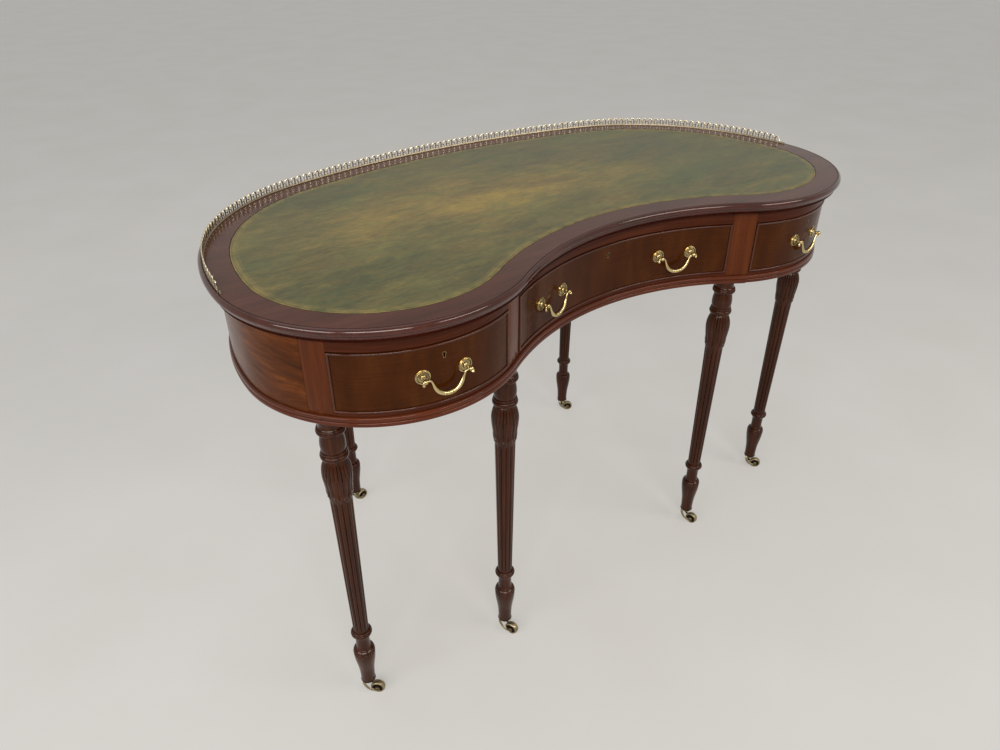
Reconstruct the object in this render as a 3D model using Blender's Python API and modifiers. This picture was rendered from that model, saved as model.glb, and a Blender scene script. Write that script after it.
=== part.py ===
"""Kidney shaped writing desk: mahogany carcase, leather top, brass gallery, three drawers, six castors.

Metres, +Z up. +X runs along the desk, -Y is the side with the drawers and the knee hollow.
The origin lies on the floor under the middle of the top.
"""

import math

import bmesh
import bpy
from mathutils import Matrix, Vector

MM = 0.001
DEGREE = math.pi / 180

# Fits
GAP = 0.3 * MM
RUN_CLEARANCE = 1.0 * MM
OVERRUN = 20 * MM

# Height of the writing surface
DESK_HEIGHT = 755 * MM

# Plan of the top: radius and turn of each arc from the middle of the back to the end of the lobe.
# The hollow of the knee closes the outline, so its radius follows from these.
BACK_RADIUS = 1380 * MM
BACK_TURN = 14.4 * DEGREE
SHOULDER_RADIUS = 348 * MM
SHOULDER_TURN = 58.2 * DEGREE
END_RADIUS = 480 * MM
END_TURN = 16.7 * DEGREE
LOBE_RADIUS = 238 * MM
LOBE_TURN = 123.9 * DEGREE
FACET_SAG = 0.7 * MM
SMOOTH_ANGLE = 35 * DEGREE

# Top board and its moulded edge
BOARD_THICKNESS = 20 * MM
ARRIS_INSET = 5 * MM
NOSE_DROP = 5.5 * MM
NOSE_HEIGHT = 4 * MM
QUIRK_INSET = 3 * MM
COVE_INSET = 10 * MM

# Writing leather let into the board
BORDER_WIDTH = 45.5 * MM
RECESS_DEPTH = 1.8 * MM

# Frieze: panels and drawer fronts share one outer face
FRIEZE_SETBACK = 21.5 * MM
FRIEZE_THICKNESS = 20 * MM
FRIEZE_HEIGHT = 135 * MM

# Rails above and below the drawers
RAIL_DEPTH = 60 * MM
TOP_RAIL_HEIGHT = 23 * MM
BOTTOM_RAIL_HEIGHT = 18 * MM

# Moulding round the foot of the frieze
MOULDING_HEIGHT = 14 * MM
MOULDING_PROJECTION = 4.5 * MM
MOULDING_LIP = 1 * MM
QUIRK_DEPTH = 1.8 * MM

# Legs
LEG_BLOCK = 36 * MM
LEG_INSET = 39.5 * MM
BLOCK_DROP = 4 * MM
BACK_LEG_TURN = 13.6 * DEGREE
OUTER_LEG_TURN = 128.5 * DEGREE
INNER_LEG_ANGLE = 32.0 * DEGREE
FOOT_HEIGHT = 35 * MM
TURNING_STEPS = 12
REEDS = 12
REED_DEPTH = 2.0 * MM
TENON = 2 * MM

# Leg turning: radii, then the spacing of its members, from the block down and from the foot up
COLLAR_RADIUS = 20.8 * MM
BARREL_RADIUS = 18.4 * MM
ASTRAGAL_RADIUS = 20.2 * MM
BULB_RADIUS = 22.2 * MM
SHAFT_TOP_RADIUS = 17.2 * MM
SHAFT_FOOT_RADIUS = 12.4 * MM
ANKLET_RADIUS = 17.6 * MM
ANKLE_RADIUS = 11.8 * MM
VASE_RADIUS = 18.3 * MM
TOE_RADIUS = 12.1 * MM
BLOCK_TO_COLLAR = 18 * MM
COLLAR_TO_BARREL = 25 * MM
BARREL_TO_ASTRAGAL = 18 * MM
ASTRAGAL_TO_BULB = 27 * MM
BULB_TO_SHAFT = 56 * MM
FOOT_TO_VASE = 71 * MM
VASE_TO_ANKLET = 52 * MM
BEAD_HALF = 3.5 * MM

# Drawers
COCK_BEAD = 3 * MM
COCK_BEAD_PROUD = 1.6 * MM
DRAWER_SIDE = 9 * MM
DRAWER_BOTTOM = 6 * MM
DRAWER_BOX_HEIGHT = 80 * MM
SIDE_DRAWER_LENGTH = 370 * MM
CENTRE_DRAWER_LENGTH = 410 * MM
DRAWER_BOX_CLEARANCE = 1.5 * MM

# Keyholes in the drawer fronts
RAIL_TO_KEYHOLE = 18.5 * MM
KEYHOLE_RADIUS = 2.2 * MM
KEYHOLE_SLOT = 2 * MM
KEYHOLE_DROP = 6 * MM
KEYHOLE_DEPTH = 9 * MM

# Partitions and runners
PARTITION_THICKNESS = 20 * MM
RUNNER_WIDTH = 48 * MM
GUIDE_THICKNESS = 9 * MM
GUIDE_HEIGHT = 30 * MM
OUTER_RUNNER_LEDGE = 15 * MM

# Drawer handles
HANDLE_CENTRES = 63 * MM
HANDLE_DROP = 46.5 * MM
SIDE_HANDLE_TURN = 174 * DEGREE
CENTRE_HANDLE_ANGLE = 17.6 * DEGREE
ROSE_RADIUS = 10 * MM
SEAT_HALF = 11.5 * MM
ROSE_RIM = 2.6 * MM
ROSE_DISH = 1.6 * MM
ROSE_STEPS = 12
POST_RADIUS = 2.4 * MM
POST_STEPS = 8
EYE_RADIUS = 3.6 * MM
EYE_WIDTH = 5 * MM
EYE_STANDOFF = 13 * MM
BAIL_PIN_RADIUS = 1.4 * MM
BAIL_MIDDLE_RADIUS = 3.4 * MM
BAIL_DROP = 27 * MM
BAIL_CURL = 6.5 * MM
BAIL_SHOULDER = 5 * MM

# Castors
PLATE_RADIUS = 11.5 * MM
PLATE_THICKNESS = 2.2 * MM
PINTLE_RADIUS = 2.5 * MM
CROWN_RADIUS = 9 * MM
CROWN_THICKNESS = 3 * MM
WHEEL_RADIUS = 13 * MM
WHEEL_WIDTH = 11 * MM
WHEEL_CROWN = 1.5 * MM
CASTOR_TRAIL = 15.5 * MM
AXLE_RADIUS = 1.4 * MM
ARM_THICKNESS = 2.4 * MM
ARM_EYE = 4.4 * MM
CASTOR_STEPS = 10
WHEEL_STEPS = 14
SIDE_CLEARANCE = 0.5 * MM

# Gallery
GALLERY_INSET = 9 * MM
GALLERY_THICKNESS = 1.6 * MM
GALLERY_HEIGHT = 15.5 * MM
GALLERY_VALLEY = 10.5 * MM
GALLERY_BASE = 3.5 * MM
GALLERY_PITCH = 27 * MM
GALLERY_RIB = 2.4 * MM
GALLERY_RIM = 3.5 * MM

AXLE_HEIGHT = WHEEL_RADIUS * math.cos(math.pi / WHEEL_STEPS)
UNDERSIDE = DESK_HEIGHT - BOARD_THICKNESS
CARCASE_TOP = UNDERSIDE - GAP
FRIEZE_BOTTOM = UNDERSIDE - FRIEZE_HEIGHT
TOP_RAIL_BOTTOM = UNDERSIDE - TOP_RAIL_HEIGHT
MOULDING_BOTTOM = FRIEZE_BOTTOM - MOULDING_LIP
BLOCK_BOTTOM = FRIEZE_BOTTOM - BLOCK_DROP
DRAWER_OPENING_BOTTOM = FRIEZE_BOTTOM + BOTTOM_RAIL_HEIGHT
HANDLE_HEIGHT = TOP_RAIL_BOTTOM - HANDLE_DROP
KEYHOLE_HEIGHT = TOP_RAIL_BOTTOM - RAIL_TO_KEYHOLE
COLLAR_HEIGHT = BLOCK_BOTTOM - BLOCK_TO_COLLAR
BARREL_HEIGHT = COLLAR_HEIGHT - COLLAR_TO_BARREL
ASTRAGAL_HEIGHT = BARREL_HEIGHT - BARREL_TO_ASTRAGAL
BULB_HEIGHT = ASTRAGAL_HEIGHT - ASTRAGAL_TO_BULB
SHAFT_TOP_HEIGHT = BULB_HEIGHT - BULB_TO_SHAFT
VASE_HEIGHT = FOOT_HEIGHT + FOOT_TO_VASE
ANKLET_HEIGHT = VASE_HEIGHT + VASE_TO_ANKLET


# Outline of the top

def outline_arcs():
    """Arcs of the right half as (centre x, centre y, radius, start turn, end turn, start length)."""
    arcs = []
    x = y = turned = run = 0.0
    table = (
        (BACK_RADIUS, BACK_TURN),
        (SHOULDER_RADIUS, SHOULDER_TURN),
        (END_RADIUS, END_TURN),
        (LOBE_RADIUS, LOBE_TURN),
    )
    for radius, turn in table:
        centre_x = x - radius * math.sin(turned)
        centre_y = y - radius * math.cos(turned)
        arcs.append((centre_x, centre_y, radius, turned, turned + turn, run))
        turned += turn
        run += radius * turn
        x = centre_x + radius * math.sin(turned)
        y = centre_y + radius * math.cos(turned)
    over = turned - math.pi
    knee_radius = x / math.sin(over)
    arcs.append((0.0, y - knee_radius * math.cos(over), -knee_radius, turned, math.pi, run))
    return arcs


ARCS = outline_arcs()
KNEE_RADIUS = -ARCS[-1][2]
HALF_RUN = ARCS[-1][5] + KNEE_RADIUS * (ARCS[-1][3] - math.pi)
FRONT_Y = ARCS[3][1] - LOBE_RADIUS
CENTRE_Y = FRONT_Y / 2


def rim_frame(run):
    """Point on the edge of the top and its outward normal, `run` metres clockwise from the back's middle."""
    run = run % (2 * HALF_RUN)
    side = 1.0
    if run > HALF_RUN:
        run = 2 * HALF_RUN - run
        side = -1.0
    arc = ARCS[0]
    for candidate in ARCS:
        if run >= candidate[5]:
            arc = candidate
    centre_x, centre_y, radius, start, end, start_run = arc
    turned = start + (run - start_run) / radius
    normal = Vector((side * math.sin(turned), math.cos(turned), 0.0))
    point = Vector((side * (centre_x + radius * math.sin(turned)), centre_y + radius * math.cos(turned) - CENTRE_Y, 0.0))
    return point, normal


def rim_point(run, inset, height=0.0):
    point, normal = rim_frame(run)
    place = point - normal * inset
    place.z = height
    return place


def run_at_turn(turn):
    """Length along the edge at which it has turned by `turn`, on the convex arcs."""
    for centre_x, centre_y, radius, start, end, start_run in ARCS[:-1]:
        if turn <= end:
            return start_run + radius * (turn - start)
    return ARCS[-1][5]


def run_on_knee(angle):
    return HALF_RUN - KNEE_RADIUS * angle


def run_along_face(run, distance):
    """Run at which the frieze face lies `distance` further along, measured on the face."""
    ahead = rim_point(run + GAP, FRIEZE_SETBACK) - rim_point(run, FRIEZE_SETBACK)
    return run + distance * GAP / ahead.length


def handle_runs():
    """Middle of each of the four handles, by name."""
    side_run = run_at_turn(SIDE_HANDLE_TURN)
    centre_run = run_on_knee(CENTRE_HANDLE_ANGLE)
    return {
        "right": side_run,
        "centre_right": centre_run,
        "centre_left": 2 * HALF_RUN - centre_run,
        "left": 2 * HALF_RUN - side_run,
    }


def rose_runs(run):
    return [run_along_face(run, -HANDLE_CENTRES / 2), run_along_face(run, HANDLE_CENTRES / 2)]


BACK_RIGHT = run_at_turn(BACK_LEG_TURN)
OUTER_RIGHT = run_at_turn(OUTER_LEG_TURN)
INNER_RIGHT = run_on_knee(INNER_LEG_ANGLE)
INNER_LEFT = 2 * HALF_RUN - INNER_RIGHT
OUTER_LEFT = 2 * HALF_RUN - OUTER_RIGHT
BACK_LEFT = 2 * HALF_RUN - BACK_RIGHT
LEG_RUNS = {
    "outer_left": OUTER_LEFT,
    "inner_left": INNER_LEFT,
    "inner_right": INNER_RIGHT,
    "outer_right": OUTER_RIGHT,
    "back_left": BACK_LEFT,
    "back_right": BACK_RIGHT,
}


def facet_runs():
    """Lengths along the whole edge where its facets meet, from the back's middle.

    One facet is centred behind each rose of the handles, so that the rose sits flat on it. Facets also
    meet at the outer and back legs, so that the panels, which end there, share them with the moulding.
    """
    runs = []
    for centre_x, centre_y, radius, start, end, start_run in ARCS:
        length = abs(radius * (end - start))
        step = math.sqrt(8 * abs(radius) * FACET_SAG)
        count = max(2, math.ceil(length / step))
        runs += [start_run + length * i / count for i in range(count)]
    runs.append(HALF_RUN)
    runs += [2 * HALF_RUN - run for run in reversed(runs[1:-1])]
    for leg in (BACK_RIGHT, OUTER_RIGHT, OUTER_LEFT, BACK_LEFT):
        runs = [run for run in runs if abs(run - leg) > LEG_BLOCK / 9]
        runs.append(leg)
    for handle in handle_runs().values():
        for seat in rose_runs(handle):
            runs = [run for run in runs if abs(run - seat) > SEAT_HALF * 3 / 2]
            runs += [seat - SEAT_HALF, seat + SEAT_HALF]
    return sorted(runs)


FACETS = facet_runs()


def stations(start, end):
    """Both ends and every facet joint between them. The stretch may cross the back's middle."""
    lap = 2 * HALF_RUN
    inner = sorted(run + lap * k for k in (-1, 0, 1) for run in FACETS)
    margin = GAP
    return [start] + [run for run in inner if start + margin < run < end - margin] + [end]


# Scene and materials

def clear_scene():
    for item in list(bpy.data.objects):
        bpy.data.objects.remove(item)


def new_collection(name):
    collection = bpy.data.collections.new(name)
    bpy.context.scene.collection.children.link(collection)
    return collection


def material(name, colour, roughness, metallic=0.0):
    made = bpy.data.materials.get(name)
    if made:
        return made
    made = bpy.data.materials.new(name)
    made.use_nodes = True
    shader = made.node_tree.nodes["Principled BSDF"]
    shader.inputs["Base Color"].default_value = (*colour, 1.0)
    shader.inputs["Roughness"].default_value = roughness
    shader.inputs["Metallic"].default_value = metallic
    made.diffuse_color = (*colour, 1.0)
    return made


clear_scene()
DESK = new_collection("kidney_desk")
CUTTERS = new_collection("cutters")


def mahogany():
    return material("mahogany", (0.105, 0.028, 0.014), 0.3)


def mahogany_top():
    return material("mahogany_top", (0.085, 0.022, 0.013), 0.25)


def drawer_oak():
    return material("drawer_oak", (0.33, 0.19, 0.09), 0.6)


def hide_leather():
    return material("green_leather", (0.12, 0.14, 0.05), 0.45)


def polished_brass():
    return material("polished_brass", (0.62, 0.46, 0.2), 0.28, 1.0)


def aged_brass():
    return material("aged_brass", (0.4, 0.29, 0.13), 0.38, 1.0)


# Building blocks

def add_object(name, mesh, finish, collection=None):
    made = bpy.data.objects.new(name, mesh)
    (collection or DESK).objects.link(made)
    if finish:
        made.data.materials.append(finish)
    return made


def mesh_from(bm, name):
    bmesh.ops.recalc_face_normals(bm, faces=bm.faces[:])
    mesh = bpy.data.meshes.new(name)
    bm.to_mesh(mesh)
    bm.free()
    return mesh


def smooth(made):
    made.data.shade_smooth()
    made.data.set_sharp_from_angle(angle=SMOOTH_ANGLE)


def settle(made):
    """Turns an object with its curve or modifiers into a plain mesh object, with caps welded."""
    bpy.context.view_layer.update()
    graph = bpy.context.evaluated_depsgraph_get()
    mesh = bpy.data.meshes.new_from_object(made.evaluated_get(graph))
    bm = bmesh.new()
    bm.from_mesh(mesh)
    bmesh.ops.remove_doubles(bm, verts=bm.verts[:], dist=GAP / 30)
    bm.to_mesh(mesh)
    bm.free()
    name = made.name
    plain = bpy.data.objects.new(name + "_mesh", mesh)
    plain.matrix_world = made.matrix_world
    for collection in made.users_collection:
        collection.objects.link(plain)
    bpy.data.objects.remove(made)
    plain.name = name
    return plain


def as_cutter(made):
    for collection in list(made.users_collection):
        collection.objects.unlink(made)
    CUTTERS.objects.link(made)
    made.hide_render = True
    made.display_type = "WIRE"
    return made


def boolean(target, tool, operation="DIFFERENCE"):
    modifier = target.modifiers.new(tool.name, "BOOLEAN")
    modifier.object = tool
    modifier.operation = operation
    modifier.solver = "EXACT"
    return target


def box(name, low, high, finish=None, collection=None):
    """Box between two opposite corners, placed by its location."""
    bm = bmesh.new()
    bmesh.ops.create_cube(bm, size=1.0)
    size = Vector(high) - Vector(low)
    bmesh.ops.scale(bm, vec=size, verts=bm.verts[:])
    made = add_object(name, mesh_from(bm, name), finish, collection)
    made.location = (Vector(high) + Vector(low)) / 2
    return made


def flat_outline(name, points, bottom, top, finish=None):
    """Flat closed outline in plan, from one height to another."""
    curve = bpy.data.curves.new(name, "CURVE")
    curve.dimensions = "2D"
    curve.fill_mode = "BOTH"
    curve.extrude = (top - bottom) / 2
    spline = curve.splines.new("POLY")
    spline.points.add(len(points) - 1)
    for place, point in zip(spline.points, points):
        place.co = (point[0], point[1], 0.0, 1.0)
    spline.use_cyclic_u = True
    made = add_object(name, curve, finish)
    made.location.z = (top + bottom) / 2
    return made


def strip(name, start, end, outer, inner, bottom, top, finish=None):
    """Board that follows the outline between two stations, from one inset to another."""
    runs = stations(start, end)
    points = [rim_point(run, outer) for run in runs]
    points += [rim_point(run, inner) for run in reversed(runs)]
    return settle(flat_outline(name, points, bottom, top, finish))


def loft(name, rings, finish=None, collection=None):
    """Closed body through rings of equally many points, with both ends capped."""
    bm = bmesh.new()
    loops = [[bm.verts.new(point) for point in ring] for ring in rings]
    count = len(rings[0])
    for lower, upper in zip(loops, loops[1:]):
        for i in range(count):
            j = (i + 1) % count
            bm.faces.new((lower[i], lower[j], upper[j], upper[i]))
    bm.faces.new(loops[0])
    bm.faces.new(loops[-1])
    return add_object(name, mesh_from(bm, name), finish, collection)


def turned(name, profile, steps, finish=None, collection=None):
    """Turned body: a profile of (radius, height) down its outer side, spun about Z."""
    bm = bmesh.new()
    verts = [bm.verts.new((radius, 0.0, height)) for radius, height in profile]
    closed = profile[0][0] > 0
    ends = list(zip(verts, verts[1:]))
    if closed:
        ends.append((verts[-1], verts[0]))
    for first, second in ends:
        bm.edges.new((first, second))
    mesh = bpy.data.meshes.new(name)
    bm.to_mesh(mesh)
    bm.free()
    made = add_object(name, mesh, finish, collection)
    screw = made.modifiers.new("turn", "SCREW")
    screw.steps = steps
    screw.render_steps = steps
    screw.use_merge_vertices = True
    screw.merge_threshold = GAP / 30
    return made


def interior_prism(name, inset, bottom, top):
    """Everything inside the outline at an inset, for trimming what fits within it."""
    points = [rim_point(run, inset) for run in FACETS]
    return as_cutter(settle(flat_outline(name, points, bottom, top)))


# Top

def make_board():
    """Top board with its moulded edge and the recess for the leather."""
    top = DESK_HEIGHT
    profile = (
        (BORDER_WIDTH, top - RECESS_DEPTH),
        (BORDER_WIDTH, top),
        (ARRIS_INSET, top),
        (0.0, top - NOSE_DROP),
        (0.0, top - NOSE_DROP - NOSE_HEIGHT),
        (QUIRK_INSET, UNDERSIDE + (BOARD_THICKNESS - NOSE_DROP - NOSE_HEIGHT) * 2 / 3),
        (COVE_INSET, UNDERSIDE),
    )
    rings = [[rim_point(run, inset, height) for run in FACETS] for inset, height in profile]
    return loft("top_board", rings, mahogany_top())


def make_leather():
    points = [rim_point(run, BORDER_WIDTH + GAP) for run in FACETS]
    bottom = DESK_HEIGHT - RECESS_DEPTH + GAP
    return flat_outline("writing_leather", points, bottom, DESK_HEIGHT, hide_leather())


# Gallery

def gallery_length(name, start, end):
    """One length of the pierced gallery: pointed arches side by side on a base strip.

    Each arch is a cell between two stations, with five corners round it and a lancet opening of three.
    Triangles join them on the front and the back face, and walls close the opening and the edges.
    """
    cells = max(1, round((end - start) / GALLERY_PITCH))
    pitch = (end - start) / cells
    side = GALLERY_RIB / 2
    middle = pitch / 2
    cell_corners = (
        (0.0, 0.0),
        (pitch, 0.0),
        (pitch, GALLERY_VALLEY),
        (middle, GALLERY_HEIGHT),
        (0.0, GALLERY_VALLEY),
    )
    opening_corners = (
        (side, GALLERY_BASE),
        (pitch - side, GALLERY_BASE),
        (middle, GALLERY_HEIGHT - GALLERY_RIM),
    )
    faces_inset = (GALLERY_INSET - GALLERY_THICKNESS / 2, GALLERY_INSET + GALLERY_THICKNESS / 2)
    foot = DESK_HEIGHT + GAP
    bm = bmesh.new()
    for cell in range(cells):
        base = start + pitch * cell
        rings = []
        for inset in faces_inset:
            cell_verts, opening_verts = (
                [bm.verts.new(rim_point(base + along, inset, foot + up)) for along, up in corners]
                for corners in (cell_corners, opening_corners)
            )
            rings.append((cell_verts, opening_verts))
            o, i = cell_verts, opening_verts
            bm.faces.new((o[0], o[1], i[1], i[0]))
            bm.faces.new((o[1], o[2], i[1]))
            bm.faces.new((o[2], o[3], i[2], i[1]))
            bm.faces.new((o[3], o[4], i[0], i[2]))
            bm.faces.new((o[4], o[0], i[0]))
        (outer_a, opening_a), (outer_b, opening_b) = rings
        open_edges = [k for k in range(5) if not (k == 1 and cell < cells - 1) and not (k == 4 and cell > 0)]
        for k in open_edges:
            bm.faces.new((outer_a[k], outer_a[(k + 1) % 5], outer_b[(k + 1) % 5], outer_b[k]))
        for k in range(3):
            bm.faces.new((opening_a[k], opening_a[(k + 1) % 3], opening_b[(k + 1) % 3], opening_b[k]))
    bmesh.ops.remove_doubles(bm, verts=bm.verts[:], dist=GAP / 30)
    return add_object(name, mesh_from(bm, name), polished_brass())


def make_gallery():
    """Three lengths round the ends and the back, from the widest point on the right to the left."""
    reach = run_at_turn(math.pi / 2)
    joint = BACK_RIGHT
    slit = GAP / 2
    gallery_length("gallery_right", joint + slit, reach)
    gallery_length("gallery_back", -joint + slit, joint - slit)
    gallery_length("gallery_left", -reach, -joint - slit)


# Legs

def leg_place(which):
    """Leg's centre in plan and the turn of its block. The inner blocks stand square to the drawers."""
    run = LEG_RUNS[which]
    point, normal = rim_frame(run)
    place = rim_point(run, LEG_INSET)
    if which.startswith("inner"):
        return place, 0.0
    return place, math.atan2(-normal.x, normal.y)


def block_cutter(which, clearance, through=False):
    """The leg's block with a clearance all round, drawn out past the front, and if asked past the back."""
    place, turn = leg_place(which)
    half = LEG_BLOCK / 2 + clearance
    outward = LEG_BLOCK / 2 + OVERRUN
    inward = RAIL_DEPTH if through else half
    name = "block_cut_%s_%g" % (which, clearance)
    if through:
        name += "_through"
    if name in bpy.data.objects:
        return bpy.data.objects[name]
    points_out = -1 if which.startswith("inner") else 1
    low = (-half, -inward, 0.0) if points_out > 0 else (-half, -outward, 0.0)
    high = (half, outward, DESK_HEIGHT) if points_out > 0 else (half, inward, DESK_HEIGHT)
    made = as_cutter(box(name, low, high))
    made.matrix_world = Matrix.Translation(place) @ Matrix.Rotation(turn, 4, "Z") @ Matrix.Translation(made.location)
    return made


def upper_turning():
    """Collar, barrel and astragal between the block and the reeded bulb, down the outer side."""
    neck = BARREL_RADIUS * 9 / 10
    flare = LEG_BLOCK * 12 / 25
    return [
        (0.0, BLOCK_BOTTOM + TENON),
        (flare, BLOCK_BOTTOM + TENON),
        (flare, BLOCK_BOTTOM - BEAD_HALF / 2),
        (neck, COLLAR_HEIGHT + BEAD_HALF * 2),
        (COLLAR_RADIUS, COLLAR_HEIGHT + BEAD_HALF),
        (COLLAR_RADIUS, COLLAR_HEIGHT - BEAD_HALF / 2),
        (neck * 19 / 20, COLLAR_HEIGHT - BEAD_HALF * 3 / 2),
        (BARREL_RADIUS, BARREL_HEIGHT + BEAD_HALF),
        (neck, ASTRAGAL_HEIGHT + BEAD_HALF * 3 / 2),
        (ASTRAGAL_RADIUS, ASTRAGAL_HEIGHT + BEAD_HALF / 2),
        (ASTRAGAL_RADIUS, ASTRAGAL_HEIGHT - BEAD_HALF / 2),
        (neck * 19 / 20, ASTRAGAL_HEIGHT - BEAD_HALF * 3 / 2),
        (neck * 19 / 20, ASTRAGAL_HEIGHT - BEAD_HALF * 2 - TENON),
        (0.0, ASTRAGAL_HEIGHT - BEAD_HALF * 2 - TENON),
    ]


def lower_turning():
    """Anklet, ankle, vase and tapered toe under the reeded shaft, down the outer side."""
    return [
        (0.0, ANKLET_HEIGHT + BEAD_HALF * 3 / 2),
        (ANKLET_RADIUS * 4 / 5, ANKLET_HEIGHT + BEAD_HALF * 3 / 2),
        (ANKLET_RADIUS, ANKLET_HEIGHT + BEAD_HALF),
        (ANKLET_RADIUS, ANKLET_HEIGHT - BEAD_HALF / 2),
        (ANKLE_RADIUS, ANKLET_HEIGHT - BEAD_HALF * 2),
        (ANKLE_RADIUS, VASE_HEIGHT + BEAD_HALF * 4),
        (VASE_RADIUS * 9 / 10, VASE_HEIGHT + BEAD_HALF * 3),
        (VASE_RADIUS, VASE_HEIGHT + BEAD_HALF),
        (VASE_RADIUS * 24 / 25, VASE_HEIGHT - BEAD_HALF * 3),
        (TOE_RADIUS * 9 / 8, VASE_HEIGHT - FOOT_TO_VASE * 13 / 24),
        (TOE_RADIUS * 26 / 25, VASE_HEIGHT - FOOT_TO_VASE * 3 / 4),
        (TOE_RADIUS, FOOT_HEIGHT + BEAD_HALF),
        (TOE_RADIUS * 9 / 10, FOOT_HEIGHT),
        (0.0, FOOT_HEIGHT),
    ]


def reeded_shaft(name):
    """Bulb and tapering shaft with reeds: every second point of each ring is drawn in."""
    bulb_top = ASTRAGAL_HEIGHT - BEAD_HALF * 3 / 2
    table = (
        (bulb_top, BARREL_RADIUS * 4 / 5, 0.0),
        (bulb_top - BEAD_HALF * 2, BULB_RADIUS * 7 / 8, REED_DEPTH / 2),
        (BULB_HEIGHT + BEAD_HALF, BULB_RADIUS, REED_DEPTH),
        (BULB_HEIGHT - BEAD_HALF * 3, BULB_RADIUS * 49 / 50, REED_DEPTH),
        (SHAFT_TOP_HEIGHT, SHAFT_TOP_RADIUS, REED_DEPTH),
        (ANKLET_HEIGHT + BEAD_HALF, SHAFT_FOOT_RADIUS, REED_DEPTH * 3 / 4),
    )
    rings = []
    for height, radius, depth in table:
        ring = []
        for i in range(2 * REEDS):
            angle = math.pi * i / REEDS
            reach = radius - depth * (i % 2)
            ring.append((reach * math.cos(angle), reach * math.sin(angle), height))
        rings.append(ring)
    return loft(name, rings)


def leg_turning():
    """The turned and reeded part that all six legs share."""
    shaft = as_cutter(reeded_shaft("leg_reeding"))
    lower = as_cutter(turned("leg_lower_turning", lower_turning(), TURNING_STEPS))
    whole = turned("leg_turning", upper_turning(), TURNING_STEPS)
    boolean(whole, shaft, "UNION")
    boolean(whole, lower, "UNION")
    return as_cutter(settle(whole))


def make_leg(which, turning, prism):
    """Square block in the frieze, shaped to its curve, on the shared turning."""
    place, turn = leg_place(which)
    half = LEG_BLOCK / 2
    depth = half + OVERRUN if which.startswith("inner") else half
    low = (-half, -depth, BLOCK_BOTTOM) if which.startswith("inner") else (-half, -half, BLOCK_BOTTOM)
    high = (half, half, CARCASE_TOP) if which.startswith("inner") else (half, depth + OVERRUN, CARCASE_TOP)
    leg = box("leg_" + which, low, high, mahogany())
    leg.matrix_world = Matrix.Translation(place) @ Matrix.Rotation(turn, 4, "Z") @ Matrix.Translation(leg.location)
    boolean(leg, prism, "INTERSECT")
    foot = bpy.data.objects.new("turning_" + which, turning.data)
    CUTTERS.objects.link(foot)
    as_cutter(foot)
    foot.location = place
    foot.rotation_euler.z = turn
    boolean(leg, foot, "UNION")
    return settle(leg)


# Frieze

def make_panel(name, start, end, legs):
    panel = strip(
        name, start, end, FRIEZE_SETBACK, FRIEZE_SETBACK + FRIEZE_THICKNESS, FRIEZE_BOTTOM, CARCASE_TOP, mahogany()
    )
    for which in legs:
        boolean(panel, block_cutter(which, GAP, through=True))
    return panel


def make_rail(name, bottom, top):
    """Curved rail across all three drawers, notched round the four front blocks."""
    rail = strip(name, OUTER_RIGHT, OUTER_LEFT, FRIEZE_SETBACK, FRIEZE_SETBACK + RAIL_DEPTH, bottom, top, mahogany())
    for which in ("outer_right", "inner_right", "inner_left", "outer_left"):
        boolean(rail, block_cutter(which, GAP))
    return rail


def make_moulding(name, start, end):
    """Double bead carried along the foot of the frieze."""
    face = FRIEZE_SETBACK - GAP
    nose = FRIEZE_SETBACK - MOULDING_PROJECTION
    quirk = nose + QUIRK_DEPTH
    bottom = MOULDING_BOTTOM
    height = MOULDING_HEIGHT
    profile = (
        (face, bottom),
        (nose + QUIRK_DEPTH / 2, bottom),
        (nose, bottom + height / 4),
        (quirk, bottom + height / 2),
        (nose + QUIRK_DEPTH / 2, bottom + height * 3 / 4),
        (face, bottom + height),
    )
    runs = stations(start, end)
    rings = [[rim_point(run, inset, z) for inset, z in profile] for run in runs]
    return loft(name, rings, mahogany())


# Drawers

def keyhole_cutter(name, run):
    """Round hole with a slot under it, sunk into the front above the handles."""
    seat, normal = rim_point(run, FRIEZE_SETBACK), rim_frame(run)[1]
    seat.z = KEYHOLE_HEIGHT
    reach = KEYHOLE_DEPTH
    circle = [
        (KEYHOLE_RADIUS * math.cos(step * math.pi / 4), KEYHOLE_RADIUS * math.sin(step * math.pi / 4))
        for step in range(-1, 6)
    ]
    half_slot = KEYHOLE_SLOT / 2
    points = circle + [(-half_slot, -KEYHOLE_DROP), (half_slot, -KEYHOLE_DROP)]
    made = settle(flat_outline(name, points, -reach, reach))
    made.matrix_world = Matrix.Translation(seat) @ normal.to_track_quat("Z", "Y").to_matrix().to_4x4()
    return as_cutter(made)


def drawer_front(name, start, end, lock, legs):
    """Bowed or hollow front with a cock bead standing proud round its edge."""
    def slab(part, outer, inner, margin):
        bottom = DRAWER_OPENING_BOTTOM + GAP + margin
        top = TOP_RAIL_BOTTOM - RUN_CLEARANCE - margin
        made = strip(name + part, start, end, outer, inner, bottom, top, mahogany())
        for which in legs:
            boolean(made, block_cutter(which, RUN_CLEARANCE + margin, through=True))
        return settle(made)

    proud = FRIEZE_SETBACK - COCK_BEAD_PROUD
    front = slab("", proud, FRIEZE_SETBACK + FRIEZE_THICKNESS, 0.0)
    field = slab("_field_cut", proud - OVERRUN, FRIEZE_SETBACK, COCK_BEAD)
    boolean(front, as_cutter(field))
    boolean(front, keyhole_cutter(name + "_keyhole", lock))
    return settle(front)


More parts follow.
